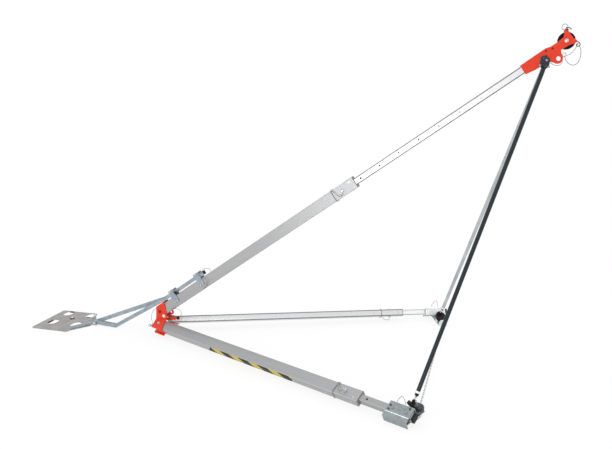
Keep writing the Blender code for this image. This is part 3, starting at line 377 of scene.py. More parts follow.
@dataclass(frozen=True)
class DrawnAluminium:
    """Extruded aluminium with faint die lines along its tube, and painted reflection on its corner radii:
    painted shade where darker, painted highlight where lighter.
    """

    turn: Matrix
    base: float
    contrast: float = 0.04
    half_width: float = 0.025
    half_depth: float = 0.040
    corner: float = 0.0045
    painted_corner_light: float = 1.0

    def write(self, name: str) -> bpy.types.Material:
        """Return the finish as a material."""
        recipe = Recipe(name)
        lines = recipe.streaks(self.turn, 0.9, 0.0022, 5.0)
        cloud = recipe.streaks(self.turn, 0.5, 0.12, 3.0)
        grey = (self.base, self.base * 1.005, self.base * 1.012)
        colour = recipe.tones(lines, grey, 1 - self.contrast, 1 + self.contrast)
        cloudy = recipe.ramp(cloud, (0.25, (0.94, 0.94, 0.95)), (0.75, (1, 1, 1)))
        colour = recipe.mix(1.0, colour, cloudy, "MULTIPLY")
        # Paint reflection on the corner radii: a factor below 1 is painted shade, above 1 a painted
        # highlight.
        if self.painted_corner_light != 1.0:
            colour = self.paint_corner_light(recipe, colour, shade(grey, self.painted_corner_light))
        recipe.surface(Base_Color=colour, Metallic=0.86)
        recipe.rough(recipe.streaks(self.turn, 0.4, 0.003, 2.0), 0.36, 0.46)
        recipe.bump(lines, 0.03, 0.0001)
        return recipe.material

    def paint_corner_light(self, recipe: Recipe, colour: Socket, tone: Sequence[float]) -> Socket:
        """Return the colour with painted reflection along the tube's four corner radii.

        Args:
            recipe: The material's writer.
            colour: The faces' colour.
            tone: The corners' colour: darker for painted shade, lighter for painted highlight.

        Returns:
            The mixed colour's socket.
        """
        split = recipe.node("ShaderNodeSeparateXYZ", Vector=recipe.place(self.turn))
        reach = recipe.maths("ADD", *(recipe.maths("ABSOLUTE", split.outputs[axis]) for axis in "YZ"))
        far = self.half_width + self.half_depth
        start, end = far - self.corner, far - self.corner * 0.35
        # Mask of the corner band that takes the painted reflection.
        corner_light_mask = recipe.node("ShaderNodeMapRange", From_Min=start, From_Max=end, Value=reach)
        return recipe.mix(corner_light_mask.outputs["Result"], colour, tone)


@dataclass(frozen=True)
class PowderCoat:
    """Powder coat with a fine orange-peel skin and lighter rubbed edges."""

    deep: Triple = (0.66, 0.032, 0.008)
    light: Triple = (0.74, 0.042, 0.012)
    rubbed: Triple = (0.96, 0.22, 0.14)

    def write(self, name: str) -> bpy.types.Material:
        """Return the finish as a material."""
        recipe = Recipe(name)
        vector = recipe.place()
        colour = recipe.ramp(recipe.noise(vector, 14.0, 3.0), (0.3, self.deep), (0.7, self.light))
        recipe.surface(Base_Color=recipe.worn(colour, self.rubbed, 0.5), Specular_IOR_Level=0.3)
        recipe.rough(recipe.noise(vector, 60.0), 0.32, 0.46)
        recipe.bump(recipe.noise(vector, 900.0, 1.0), 0.05, 0.0002)
        return recipe.material


@dataclass(frozen=True)
class Galvanised:
    """Hot-dip galvanised steel: spangle over a slightly rough skin."""

    base: Triple
    spangle: float = 60.0
    bare: Triple = (0.75, 0.77, 0.78)

    def write(self, name: str) -> bpy.types.Material:
        """Return the finish as a material."""
        recipe = Recipe(name)
        vector = recipe.place()
        cells = recipe.node("ShaderNodeTexVoronoi", Scale=self.spangle, Randomness=1.0, Vector=vector)
        tone = recipe.mix(0.55, cells.outputs["Color"], recipe.noise(vector, 22.0, 6.0))
        value = recipe.node("ShaderNodeRGBToBW", Color=tone).outputs["Val"]
        colour = recipe.tones(value, self.base, 0.80, 1.20, (0.25, 0.75))
        recipe.surface(Base_Color=recipe.worn(colour, self.bare, 0.6), Metallic=0.72)
        recipe.rough(value, 0.42, 0.66)
        recipe.bump(recipe.noise(vector, 160.0, 4.0), 0.12, 0.0005)
        return recipe.material


@dataclass(frozen=True)
class Plated:
    """Bright plated steel with faint smudges."""

    base: float
    low: float
    high: float
    metallic: float = 1.0

    def write(self, name: str) -> bpy.types.Material:
        """Return the finish as a material."""
        recipe = Recipe(name)
        vector = recipe.place()
        smudge = recipe.noise(vector, 18.0, 5.0)
        grey = (self.base, self.base * 1.01, self.base * 1.03)
        recipe.surface(Base_Color=recipe.tones(smudge, grey, 0.9, 1.0), Metallic=self.metallic)
        recipe.rough(smudge, self.low, self.high)
        recipe.bump(recipe.noise(vector, 420.0, 2.0), 0.03, 0.0002)
        return recipe.material


@dataclass(frozen=True)
class SmoothTubeSteel:
    """Smooth tube steel, faintly cloudy; its base colour carries painted light, near black as painted shade
    on the near brace and grey as painted light on the far one.
    """

    base: Triple

    def write(self, name: str) -> bpy.types.Material:
        """Return the finish as a material."""
        recipe = Recipe(name)
        cloud = recipe.noise(recipe.place(), 9.0, 3.0)
        colour = recipe.tones(cloud, self.base, 0.85, 1.2)
        recipe.surface(Base_Color=colour, Metallic=0.4, Specular_IOR_Level=0.3)
        recipe.rough(cloud, 0.26, 0.36)
        return recipe.material


@dataclass(frozen=True)
class BlackSkin:
    """Black plastic, rubber or paint with a fine grain."""

    tone: float
    low: float
    high: float
    grain: float
    rubbed: Triple = (0.05, 0.05, 0.052)

    def write(self, name: str) -> bpy.types.Material:
        """Return the finish as a material."""
        recipe = Recipe(name)
        vector = recipe.place()
        cloud = recipe.noise(vector, 30.0)
        colour = recipe.tones(cloud, (self.tone, self.tone, self.tone * 1.06), 1.0, 1.9, (0.3, 0.75))
        recipe.surface(Base_Color=recipe.worn(colour, self.rubbed, 0.35), Specular_IOR_Level=0.16)
        recipe.rough(cloud, self.low, self.high)
        recipe.bump(recipe.noise(vector, self.grain, 2.0), 0.15, 0.0003)
        return recipe.material


@dataclass(frozen=True)
class HazardBands:
    """Worn hazard tape: slanted black bands on dull yellow along a leg."""

    turn: Matrix
    pitch: float = 0.176
    slant: float = 1.2
    phase: float = 0.0120
    share: float = 0.52
    black: Triple = (0.012, 0.012, 0.010)
    yellow: Triple = (0.52, 0.42, 0.07)
    bare: Triple = (0.55, 0.55, 0.52)

    def write(self, name: str) -> bpy.types.Material:
        """Return the finish as a material."""
        recipe = Recipe(name)
        split = recipe.node("ShaderNodeSeparateXYZ", Vector=recipe.place(self.turn))
        lean = recipe.maths("MULTIPLY_ADD", split.outputs["Y"], self.slant, split.outputs["X"])
        count = recipe.maths("DIVIDE", recipe.maths("ADD", lean, self.phase), self.pitch)
        part = recipe.maths("FRACT", count)
        bands = recipe.ramp(part, (0.0, self.black), (self.share, self.yellow), sharp=True)
        scuff = recipe.streaks(self.turn, 0.05, 0.004, 5.0)
        rubbed = recipe.ramp(scuff, (0.62, (0, 0, 0)), (0.8, (0.35, 0.35, 0.35)))
        recipe.surface(Base_Color=recipe.mix(rubbed, bands, self.bare))
        recipe.rough(scuff, 0.42, 0.7)
        recipe.bump(scuff, 0.1, 0.0003)
        return recipe.material


INNER_TUBE = {"half_width": 0.020, "half_depth": 0.0225}
FINISHES: dict[Look, Finish] = {
    # On the aluminium finishes the corner factor paints reflection on the corner radii: below 1 painted
    # shade, above 1 painted highlight.
    Look.BOOM: DrawnAluminium(BOOM, 0.41, corner=0.003, painted_corner_light=0.7),
    Look.BOOM_INNER: DrawnAluminium(BOOM, 0.70, 0.03, corner=0.008, painted_corner_light=0.06, **INNER_TUBE),
    # Near leg tubes darker as painted shade, far leg tubes lighter as painted light; they are the same
    # aluminium.
    Look.FRONT_LEG: DrawnAluminium(LEG[Side.FRONT], 0.41, corner=0.004, painted_corner_light=1.3),
    Look.BACK_LEG: DrawnAluminium(LEG[Side.BACK], 0.71, corner=0.010, painted_corner_light=0.2),
    Look.FRONT_INNER: DrawnAluminium(LEG[Side.FRONT], 0.37, corner=0.004, painted_corner_light=1.3, **INNER_TUBE),
    Look.BACK_INNER: DrawnAluminium(LEG[Side.BACK], 0.88, corner=0.006, painted_corner_light=0.2, **INNER_TUBE),
    Look.RED: PowderCoat(),
    Look.MAROON: PowderCoat((0.16, 0.014, 0.008), (0.22, 0.020, 0.010), (0.42, 0.09, 0.06)),
    Look.WIRE: Plated(0.13, 0.3, 0.45, 0.7),
    Look.GUIDE: BlackSkin(0.16, 0.45, 0.6, 500.0),
    Look.ZINC: Galvanised((0.38, 0.415, 0.42)),
    Look.BAR: Galvanised((0.33, 0.38, 0.43), 40.0),
    Look.BRACKET: Galvanised((0.036, 0.040, 0.044), 70.0),
    # Near foot darker as painted shade, far foot lighter as painted light; both are the same galvanised part.
    Look.FRONT_FOOT: Galvanised((0.29, 0.33, 0.34), 90.0),
    Look.BACK_FOOT: Galvanised((0.80, 0.83, 0.83), 90.0),
    Look.ANCHOR: Galvanised((0.35, 0.345, 0.335), 26.0),
    Look.STEEL: Plated(0.66, 0.18, 0.32),
    Look.PALE: Plated(0.88, 0.3, 0.42, 0.6),
    # Near brace near black as painted shade, far brace pale grey as painted light; both are the same tube.
    Look.FRONT_BRACE: SmoothTubeSteel((0.019, 0.027, 0.033)),
    Look.BACK_BRACE: SmoothTubeSteel((0.40, 0.43, 0.45)),
    Look.BLACK_PLASTIC: BlackSkin(0.008, 0.42, 0.6, 700.0),
    Look.BLACK_STEEL: BlackSkin(0.006, 0.35, 0.5, 420.0),
    Look.TAPE: HazardBands(LEG[Side.FRONT]),
}
SLOT_LOOKS = {"aluminium": Look.BOOM, "red": Look.RED, "steel": Look.STEEL, "pale": Look.PALE,
              "black_plastic": Look.BLACK_PLASTIC, "black_steel": Look.BLACK_STEEL}
MATERIALS: dict[Look, bpy.types.Material] = {}
NODES: dict[str, bpy.types.Object] = {}
MERGE_DISTANCE = 0.00002
FLAT_ANGLE = math.radians(1)
EASED_ANGLE = math.radians(38)


# Shapes


def only(kind: type, items: Iterable) -> list:
    """Return the items that are of one bmesh kind."""
    return [item for item in items if isinstance(item, kind)]


class Shape:
    """One piece in the making: a bmesh with the maker's usual moves."""

    def __init__(self) -> None:
        """Start with nothing."""
        self.bm = bmesh.new()

    def turn(self, profile: Sequence[Pair], place: Matrix, steps: int = 40) -> "Shape":
        """Spin a profile of (radius, height) round Z of a frame, closing it where it misses the axis.

        Args:
            profile: The points.
            place: The frame.
            steps: Facets round.

        Returns:
            This shape.
        """
        verts = [self.bm.verts.new(place @ Vector((radius, 0, height))) for radius, height in profile]
        edges = [self.bm.edges.new(pair) for pair in zip(verts, verts[1:])]
        if profile[0][0] > 1e-6:
            edges.append(self.bm.edges.new((verts[-1], verts[0])))
        axis = place.to_3x3() @ Vector((0, 0, 1))
        bmesh.ops.spin(self.bm, geom=verts + edges, cent=place.translation, axis=axis, dvec=(0, 0, 0),
                       angle=2 * math.pi, steps=steps, use_merge=True)
        return self

    def rod(self, start: Vector, end: Vector, radius: float, ease: float = 0.0008,
            steps: int = 32) -> "Shape":
        """Add a cylinder with eased rims between two points."""
        length = (end - start).length
        soft = ease * 0.3
        foot = [(0, 0), (radius - ease, 0), (radius - soft, soft), (radius, ease)]
        return self.turn(foot + [(r, length - z) for r, z in reversed(foot)], turned(start, end), steps)

    def socket_head(self, start: Vector, end: Vector, radius: float) -> "Shape":
        """Add a round bolt head with a socket in its face."""
        high = (end - start).length
        profile = [(0, 0), (radius, 0), (radius, high * 0.8), (radius * 0.9, high), (radius * 0.5, high),
                   (radius * 0.45, high * 0.4), (0, high * 0.4)]
        return self.turn(profile, turned(start, end), 28)

    def soften(self, edges: list[bmesh.types.BMEdge], ease: float) -> None:
        """Ease edges with two facets."""
        bmesh.ops.bevel(self.bm, geom=edges, offset=ease, segments=2, profile=0.5, affect="EDGES",
                        material=-1)

    def hexagon(self, start: Vector, end: Vector, radius: float) -> "Shape":
        """Add a hexagon head with its rims turned off, as a bolt or nut has."""
        high = (end - start).length
        place = turned(start, end) @ Matrix.Translation((0, 0, high / 2))
        made = bmesh.ops.create_cone(self.bm, cap_ends=True, cap_tris=False, segments=6, radius1=radius,
                                     radius2=radius, depth=high, matrix=place)
        along = (end - start).normalized()
        edges = {edge for vert in made["verts"] for edge in vert.link_edges}
        rims = [e for e in edges if abs((e.verts[1].co - e.verts[0].co).normalized().dot(along)) < 0.5]
        self.soften(rims, min(0.0008, high * 0.2))
        return self

    def washer(self, start: Vector, end: Vector, radius: float, thick: float = 0.0012) -> "Shape":
        """Add a washer under a head: at start, facing end."""
        return self.turn([(0, 0), (radius, 0), (radius, thick), (0, thick)], turned(start, end), 36)

    def block(self, place: Matrix, size: Triple, ease: float) -> "Shape":
        """Add a box with eased edges, centred on a frame."""
        made = bmesh.ops.create_cube(self.bm, size=1.0, matrix=place @ Matrix.Diagonal((*size, 1)))
        self.soften(list({edge for vert in made["verts"] for edge in vert.link_edges}), ease)
        return self

    def wire(self, points: Iterable[Vector], radius: float, closed: bool = False) -> "Shape":
        """Add a round wire through points, as a smooth curve with capped ends."""
        route = list(points)
        curve = bpy.data.curves.new("wire", "CURVE")
        curve.dimensions = "3D"
        curve.bevel_depth = radius
        curve.bevel_resolution = 2
        curve.resolution_u = 6
        curve.use_fill_caps = True
        spline = curve.splines.new("BEZIER")
        spline.bezier_points.add(len(route) - 1)
        for knot, point in zip(spline.bezier_points, route):
            knot.co = point
            knot.handle_left_type = knot.handle_right_type = "AUTO"
        spline.use_cyclic_u = closed
        holder = bpy.data.objects.new("wire", curve)
        bpy.context.collection.objects.link(holder)
        mesh = bpy.data.meshes.new_from_object(holder.evaluated_get(bpy.context.evaluated_depsgraph_get()))
        self.bm.from_mesh(mesh)
        bpy.data.objects.remove(holder)
        bpy.data.curves.remove(curve)
        bpy.data.meshes.remove(mesh)
        return self

    def piece(self, name: str, look: Look, body: str, *nodes: str, angle: float = 35.0) -> bpy.types.Object:
        """Turn the shape into an object that rides on a body and stands for CAD nodes.

        Args:
            name: The object's name.
            look: Its finish.
            body: The body that it rides on.
            *nodes: CAD nodes that it replaces.
            angle: Angle in degrees above which an edge stays sharp.

        Returns:
            The new object.
        """
        bmesh.ops.remove_doubles(self.bm, verts=self.bm.verts, dist=0.000002)
        bmesh.ops.recalc_face_normals(self.bm, faces=self.bm.faces)
        mesh = bpy.data.meshes.new(name)
        self.bm.to_mesh(mesh)
        self.bm.free()
        mesh.materials.append(MATERIALS[look])
        mesh.shade_smooth()
        mesh.set_sharp_from_angle(angle=math.radians(angle))
        obj = bpy.data.objects.new(name, mesh)
        bpy.context.collection.objects.link(obj)
        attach(obj, body)
        if nodes:
            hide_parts(*nodes)
        LOG.info("piece %s rides on %s", name, body)
        return obj


def refine(node: str, body: str, look: Look, ease: float = 0.0008, segments: int = 3) -> bpy.types.Object:
    """Return a finer stand-in for a CAD node: the same solid with its edges eased.

    Args:
        node: The CAD node's name.
        body: The body that it rides on.
        look: Its finish.
        ease: The edges' radius.
        segments: Facets round each edge.

    Returns:
        The new object.
    """
    source = NODES[node]
    shape = Shape()
    shape.bm.from_mesh(source.data)
    bmesh.ops.transform(shape.bm, matrix=source.matrix_world, verts=shape.bm.verts)
    bmesh.ops.remove_doubles(shape.bm, verts=shape.bm.verts, dist=MERGE_DISTANCE)
    bmesh.ops.dissolve_limit(shape.bm, angle_limit=FLAT_ANGLE, verts=shape.bm.verts, edges=shape.bm.edges)
    obj = shape.piece(f"fine_{node}", look, body, node)
    bevel = obj.modifiers.new("edges", "BEVEL")
    bevel.width = ease
    bevel.segments = segments
    bevel.limit_method = "ANGLE"
    bevel.angle_limit = EASED_ANGLE
    bevel.use_clamp_overlap = True
    return obj


def seat(place: Matrix, spot: Pair, way: int, face: float, high: float) -> tuple[Vector, Vector]:
    """Return where a bolt head on an arm's side face starts and ends.

    Args:
        place: The arm's frame.
        spot: Where the head stands along the arm and out from it.
        way: The side that it is on, 1 or -1.
        face: The face's distance from the arm's middle.
        high: The head's height.

    Returns:
        The head's seat and top.
    """
    s, w = spot
    return place @ Vector((s, way * face, w)), place @ Vector((s, way * (face + high), w))


@dataclass(frozen=True)
class Heads:
    """Bolt heads or nuts on an arm's side faces: their spots, the face, their height and radius."""

    spots: tuple[Pair, ...]
    face: float
    high: float
    radius: float
    socket: bool = False

    def build(self, place: Matrix, name: str, look: Look, body: str, ways: Sequence[int] = (-1, 1)) -> None:
        """Make the heads on one side of an arm or on both, as one piece."""
        shape = Shape()
        make = shape.socket_head if self.socket else shape.hexagon
        for way in ways:
            for spot in self.spots:
                make(*seat(place, spot, way, self.face, self.high), self.radius)
        shape.piece(name, look, body)


def ring(s: float, y: float, w: float, radius: float, lean: float = 0.0) -> tuple[Triple, ...]:
    """Return points round a ring seen from the side.

    Args:
        s: The centre's place along the arm.
        y: The centre's place across it.
        w: The centre's place out from it.
        radius: The ring's radius.
        lean: How far it leans across.

    Returns:
        The points.
    """
    turns = [math.pi / 4 * k for k in range(8)]
    return tuple((s + radius * math.cos(a), y + lean * math.cos(a + 0.6), w + radius * math.sin(a))
                 for a in turns)


@dataclass(frozen=True)
class Keeper:
    """A spring-wire keeper, ring or clip: points in an arm's frame and radius in millimetres, and finish."""

    name: str
    points: tuple[Triple, ...]
    radius: float = 1.4
    closed: bool = False
    look: Look = Look.WIRE

    def build(self, place: Matrix, body: str, prefix: str, flip: int = 1) -> None:
        """Make the wire on a body; flip turns its Y for the far side."""
        route = [place @ Vector((s * MM, flip * y * MM, w * MM)) for s, y, w in self.points]
        Shape().wire(route, self.radius * MM, self.closed).piece(f"{prefix}_{self.name}", self.look, body)


# Sub-assemblies


@dataclass
class Hub:
    """The red knuckle at the apex, with its bolts, stud and locking wires."""

    hinge: Pair = (0.162, 0.0055)
    reach: float = 0.0388
    bolt_radius: float = 0.006
    head_radius: float = 0.0105
    head_span: Pair = (0.0008, 0.0066)
    stud_end: float = 0.262
    plate_face: float = 0.0313
    middle_bolt: Pair = (0.170, -0.040)
    middle_height: float = 0.0065
    wear_plate_span: Pair = (0.152, 0.236)
    wear_plate_height: float = 0.0414
    wear_plate_width: float = 0.049
    wear_plate_thickness: float = 0.0026
    wires: tuple[Keeper, ...] = (
        Keeper("left_loop", ((161, -36, 40), (128, -42, 38), (96, -47, 18), (76, -49, -6), (64, -50, -32),
            (52, -50, -49))),
        Keeper("left_pin", ((34, -50, -40), (60, -52, -54), (88, -46, -62)), 3.6, look=Look.BLACK_STEEL),
        Keeper("left_clip", ring(30, -50, -40, 9.5, 3), closed=True),
        Keeper("right_loop", ((262, -36, -26), (284, -40, -34), (312, -44, -52), (326, -44, -80),
            (314, -42, -102), (284, -38, -106))),
    )

    def build(self) -> None:
        """Make the hub's pieces."""
        for node in ("hub_front_plate", "hub_rear_plate", "hub_lower_plate", "hub_core"):
            refine(node, "hub", Look.RED, 0.0012)
        self.hinge_bolt(BOOM, "boom_hinge_bolt", Look.MAROON)
        for side in Side:
            self.hinge_bolt(LEG[side], f"{side.word}_hinge_bolt", Look.STEEL)
            self.plate_bolt(side)
            self.wear_plate(side)
        self.stud_cap()
        for wire in self.wires:
            wire.build(BOOM, "hub", "hub")

    def hinge_bolt(self, place: Matrix, node: str, look: Look) -> None:
        """Make one hinge's through bolt with washers, a hexagon at each end and its thread's end."""
        s, w = self.hinge
        low, high = (place @ Vector((s, y, w)) for y in (-self.reach, self.reach))
        along = (high - low).normalized()
        shape = Shape().rod(low + along * 0.001, high - along * 0.001, self.bolt_radius)
        top, seat_at = self.head_span
        for point, way in ((low, along), (high, -along)):
            shape.washer(point + way * (seat_at + 0.0002), point, self.head_radius * 1.18)
            shape.hexagon(point + way * seat_at, point + way * top, self.head_radius)
        shape.piece(f"fine_{node}", look, "hub", node)

    def plate_bolt(self, side: Side) -> None:
        """Make the large bolt in the middle of a plate."""
        face, top = seat(BOOM, self.middle_bolt, -side.value, self.plate_face, self.middle_height)
        shape = Shape().washer(face, top, 0.0125).hexagon(face.lerp(top, 0.15), top, 0.0098)
        shape.piece(f"hub_middle_bolt_{side.word}", Look.PALE, "hub")

    def wear_plate(self, side: Side) -> None:
        """Make the red wear plate on the leg's outer face, between the hub's two flanges."""
        start, end = self.wear_plate_span
        place = LEG[side] @ Matrix.Translation(((start + end) / 2, 0, self.wear_plate_height))
        size = (end - start, self.wear_plate_width, self.wear_plate_thickness)
        Shape().block(place, size, 0.0006).piece(f"{side.word}_wear_plate", Look.RED, f"{side.word}_leg")

    def stud_cap(self) -> None:
        """Make the black cap on the middle stud."""
        along = (DATUM.part.to_3x3() @ DATUM.axis).normalized()
        start = DATUM.part @ (DATUM.axis * self.stud_end) + along * 0.0003
        profile = [(0, 0), (0.0105, 0), (0.0125, 0.002), (0.0125, 0.010), (0.0112, 0.0128), (0.0085, 0.014),
                   (0, 0.014)]
        cap = Shape().turn(profile, turned(start, start + along))
        cap.piece("fine_stud_cap", Look.BLACK_PLASTIC, "hub", "hub_stud_cap")


@dataclass
class Telescope:
    """One sliding leg: outer and inner tube, the guide at its mouth, its screws and its quick pin."""

    word: str
    place: Matrix
    outer_body: str
    outer_look: Look
    inner_look: Look
    pin_side: int
    pin_station: float = 1.882
    face: float = 0.025
    depth: float = 0.040
    screw_stations: tuple[float, ...] = (1.754, 1.940)
    small_screw: Pair = (1.950, 0.022)
    wire_station: float = 1.812
    wire_reach: Pair = (0.0268, 0.0418)
    ring_reach: float = 0.0225
    ring_radius: float = 0.012

    def build(self) -> None:
        """Make the leg's pieces."""
        refine(f"{self.word}_outer_tube", self.outer_body, self.outer_look, 0.0004, 2)
        refine(f"{self.word}_inner_tube", f"{self.word}_inner", self.inner_look, 0.0004, 2)
        refine(f"{self.word}_guide", self.outer_body, Look.GUIDE, 0.0006, 2)
        self.screws()
        self.quick_pin()
        self.keeper()

    def at(self, s: float, y: float, w: float) -> Vector:
        """Return a point of the leg's frame in the world."""
        return self.place @ Vector((s, y, w))

    def screws(self) -> None:
        """Make the guide's pan-head screws."""
        shape = Shape()
        wide = [(0, -0.0003), (0.0055, -0.0003), (0.0055, 0.0006), (0.0042, 0.0019), (0.0024, 0.0023),
                (0.0022, 0.0012), (0, 0.0012)]
        small = [(0, -0.0003), (0.005, -0.0003), (0.005, 0.0006), (0.0038, 0.0018), (0, 0.0021)]
        for way in (-1, 1):
            for s in self.screw_stations:
                shape.turn(wide, turned(self.at(s, 0, way * self.depth), self.at(s, 0, way * 0.05)), 24)
            shape.turn(small, turned(*seat(self.place, self.small_screw, way, self.face, 0.005)), 24)
        shape.piece(f"{self.word}_guide_screws", Look.STEEL, self.outer_body)

    def quick_pin(self) -> None:
        """Make the quick-release pin: shank, head, button and split ring."""
        side, s = self.pin_side, self.pin_station
        reaches = (-self.face - 0.010, self.face + 0.0003, self.face + 0.008, self.face + 0.013)
        low, inner, outer, tip = (self.at(s, side * reach, 0) for reach in reaches)
        shape = Shape().rod(low, tip, 0.0055, 0.001)
        head = [(0, 0), (0.0092, 0), (0.010, 0.0012), (0.010, 0.0062), (0.0090, 0.0077), (0, 0.0077)]
        shape.turn(head, turned(inner, outer))
        button = [(0, 0), (0.0036, 0), (0.0036, 0.002), (0.0028, 0.0028), (0, 0.0028)]
        shape.turn(button, turned(tip, tip + (tip - outer)), 24)
        turns = [2 * math.pi * k / 10 for k in range(10)]
        middle, r = self.face + self.ring_reach, self.ring_radius
        loop = [self.at(s, side * (middle + r * math.cos(a)), r * math.sin(a)) for a in turns]
        shape.wire(loop, 0.0011, True)
        shape.piece(f"fine_{self.word}_pin", Look.STEEL, f"{self.word}_pin", f"{self.word}_pin")

    def keeper(self) -> None:
        """Make the wire round the outer tube that keeps the pin, with its tail to the pin's ring."""
        side, s = self.pin_side, self.wire_station / MM
        h, w = side * self.wire_reach[0] / MM, -side * self.wire_reach[1] / MM
        band = ((s, -h, w), (s + 4, 0, w * 1.024), (s, h, w), (s - 3, h * 1.037, 0), (s, h, -w),
                (s + 3, 0, -w * 1.024), (s, -h, -w), (s - 2, -h * 1.037, 0))
        tail = ((s, h, w * 0.86), (s + 12, h * 1.36, w * 0.70), (s + 34, h * 1.70, -w * 0.45),
                (s + 54, h * 1.85, -w * 0.66), (s + 68, h * 1.775, -w * 0.31))
        for keeper in (Keeper("wire_band", band, closed=True), Keeper("wire_tail", tail)):
            keeper.build(self.place, self.outer_body, self.word)


@dataclass
class HazardTape:
    """The striped tape along the near leg's lower outer face."""

    start: float = 0.715
    end: float = 1.485
    half_width: float = 0.0215
    face: float = 0.0401
    slant: float = 0.045
    cells: int = 24
    thickness: float = 0.0002

    def build(self) -> None:
        """Make the tape as a thin film with a slanted end."""
        shape = Shape()
        middle = Matrix.Translation(((self.start + self.end) / 2, 0, self.face))
        size = Matrix.Diagonal(((self.end - self.start) / 2, self.half_width, 1, 1))
        made = bmesh.ops.create_grid(shape.bm, x_segments=self.cells, y_segments=2, size=1.0,
                                     matrix=middle @ size)
        for vert in made["verts"]:
            if vert.co.x < self.start + 0.001:
                vert.co.x += self.slant * (vert.co.y + self.half_width) / (2 * self.half_width)
        bmesh.ops.transform(shape.bm, matrix=LEG[Side.FRONT], verts=shape.bm.verts)
        film = shape.piece("hazard_tape", Look.TAPE, "front_leg").modifiers.new("film", "SOLIDIFY")
        film.thickness = self.thickness
        film.offset = 0.0


@dataclass
class PulleyHead:
    """The red head with its pulley, axle, brackets, pins and wires."""

    axle: float = 3.489
    axle_reach: float = 0.0356
    axle_radius: float = 0.008
    collar: Triple = (0.0266, 0.003, 0.0112)
    clip: Triple = (0.0318, 0.0088, 0.0009)
    socket_bolts: Heads = Heads(((3.369, 0.0165), (3.405, 0.008)), 0.0263, 0.003, 0.0062, True)
    bracket_nuts: Heads = Heads(((3.300, -0.033), (3.345, -0.030), (3.335, -0.068)), 0.0316, 0.005, 0.0070)
    wires: tuple[Keeper, ...] = (
        Keeper("top_ring", ring(3519, -33, 70, 16.5, 4), 1.5, True),
        Keeper("top_clip", ((3517, -34, 56), (3524, -30, 62), (3534, -26, 56), (3541, -12, 46),
            (3545, 10, 40)), 2.6, look=Look.BLACK_STEEL),
        Keeper("top_pin", ((3524, -36, 50), (3529, 0, 49), (3532, 36, 48)), 3.6, look=Look.BLACK_STEEL),
        Keeper("low_pin", ((3526, -38, -50), (3526, 0, -50), (3526, 36, -50)), 3.6, look=Look.BLACK_STEEL),
        Keeper("low_clip", ((3530, -36, -38), (3536, -38, -50), (3530, -38, -64), (3519, -37, -61),
            (3516, -36, -50)), 2.4, look=Look.BLACK_STEEL),
        Keeper("long_wire", ((3526, -37, -60), (3524, -36, -82), (3513, -32, -104), (3484, -26, -135),
            (3455, -24, -141), (3434, -27, -122), (3429, -31, -90), (3436, -34, -64)), 1.6),
        Keeper("short_wire", ((3518, -37, -56), (3500, -36, -66), (3464, -33, -75), (3440, -34, -68))),
        Keeper("lug_ring", ring(3437, -31.5, -60, 10.5, 3), 1.5, True),
        Keeper("bracket_wire", ((3352, -40, -52), (3360, -46, -72), (3376, -44, -90), (3396, -36, -94),
            (3412, -30, -86))),
    )

    def build(self) -> None:
        """Make the head's pieces."""
        refine("head_body", "boom_inner", Look.RED, 0.0014)
        refine("head_front_bracket", "boom_inner", Look.BRACKET, 0.0008)
        refine("head_back_bracket", "boom_inner", Look.BRACKET, 0.0008)
        self.socket_bolts.build(BOOM, "head_socket_bolts", Look.MAROON, "boom_inner")
        self.bracket_nuts.build(BOOM, "head_bracket_nuts", Look.BAR, "boom_inner")
        for wire in self.wires:
            wire.build(BOOM, "boom_inner", "head")
        self.pulley()
        self.axle_pin()

    def pulley(self) -> None:
        """Make the grooved pulley with its dished web and bush."""
        place = BOOM @ Matrix.Translation((self.axle, 0, 0)) @ Matrix.Rotation(math.radians(-90), 4, "X")
        side = [(0.0086, -0.0197), (0.0154, -0.0197), (0.0164, -0.0187), (0.018, -0.0075), (0.0345, -0.0068),
                (0.0365, -0.0078), (0.0405, -0.0112), (0.042, -0.0120), (0.0478, -0.0120), (0.0490, -0.0108)]
        rim, depth = 0.0478, 0.0080
        angles = [math.pi * step / 10 for step in range(11)]
        groove = [(rim - depth * math.sin(a) ** 0.8 if 0 < a < math.pi else rim, -0.0092 * math.cos(a))
                  for a in angles]
        profile = side + groove + [(r, -h) for r, h in reversed(side)]
        Shape().turn(profile, place, 96).piece("fine_pulley", Look.BLACK_PLASTIC, "pulley", "pulley")

    def axle_pin(self) -> None:
        """Make the pulley's axle with its collars and spring clips."""
        low, high = (BOOM @ Vector((self.axle, y, 0)) for y in (-self.axle_reach, self.axle_reach))
        shape = Shape().rod(low, high, self.axle_radius, 0.001, 40)
        face, thick, collar = self.collar
        reach, r, wire = self.clip
        angles = [math.radians(40 + 280 * k / 8) for k in range(9)]
        for way in (-1, 1):
            shape.rod(*seat(BOOM, (self.axle, 0), way, face, thick), collar, 0.0006, 48)
            clip = [Vector((self.axle + r * math.cos(a), way * reach, r * math.sin(a))) for a in angles]
            shape.wire([BOOM @ point for point in clip], wire)
        shape.piece("fine_pulley_axle", Look.STEEL, "boom_inner", "pulley_axle")


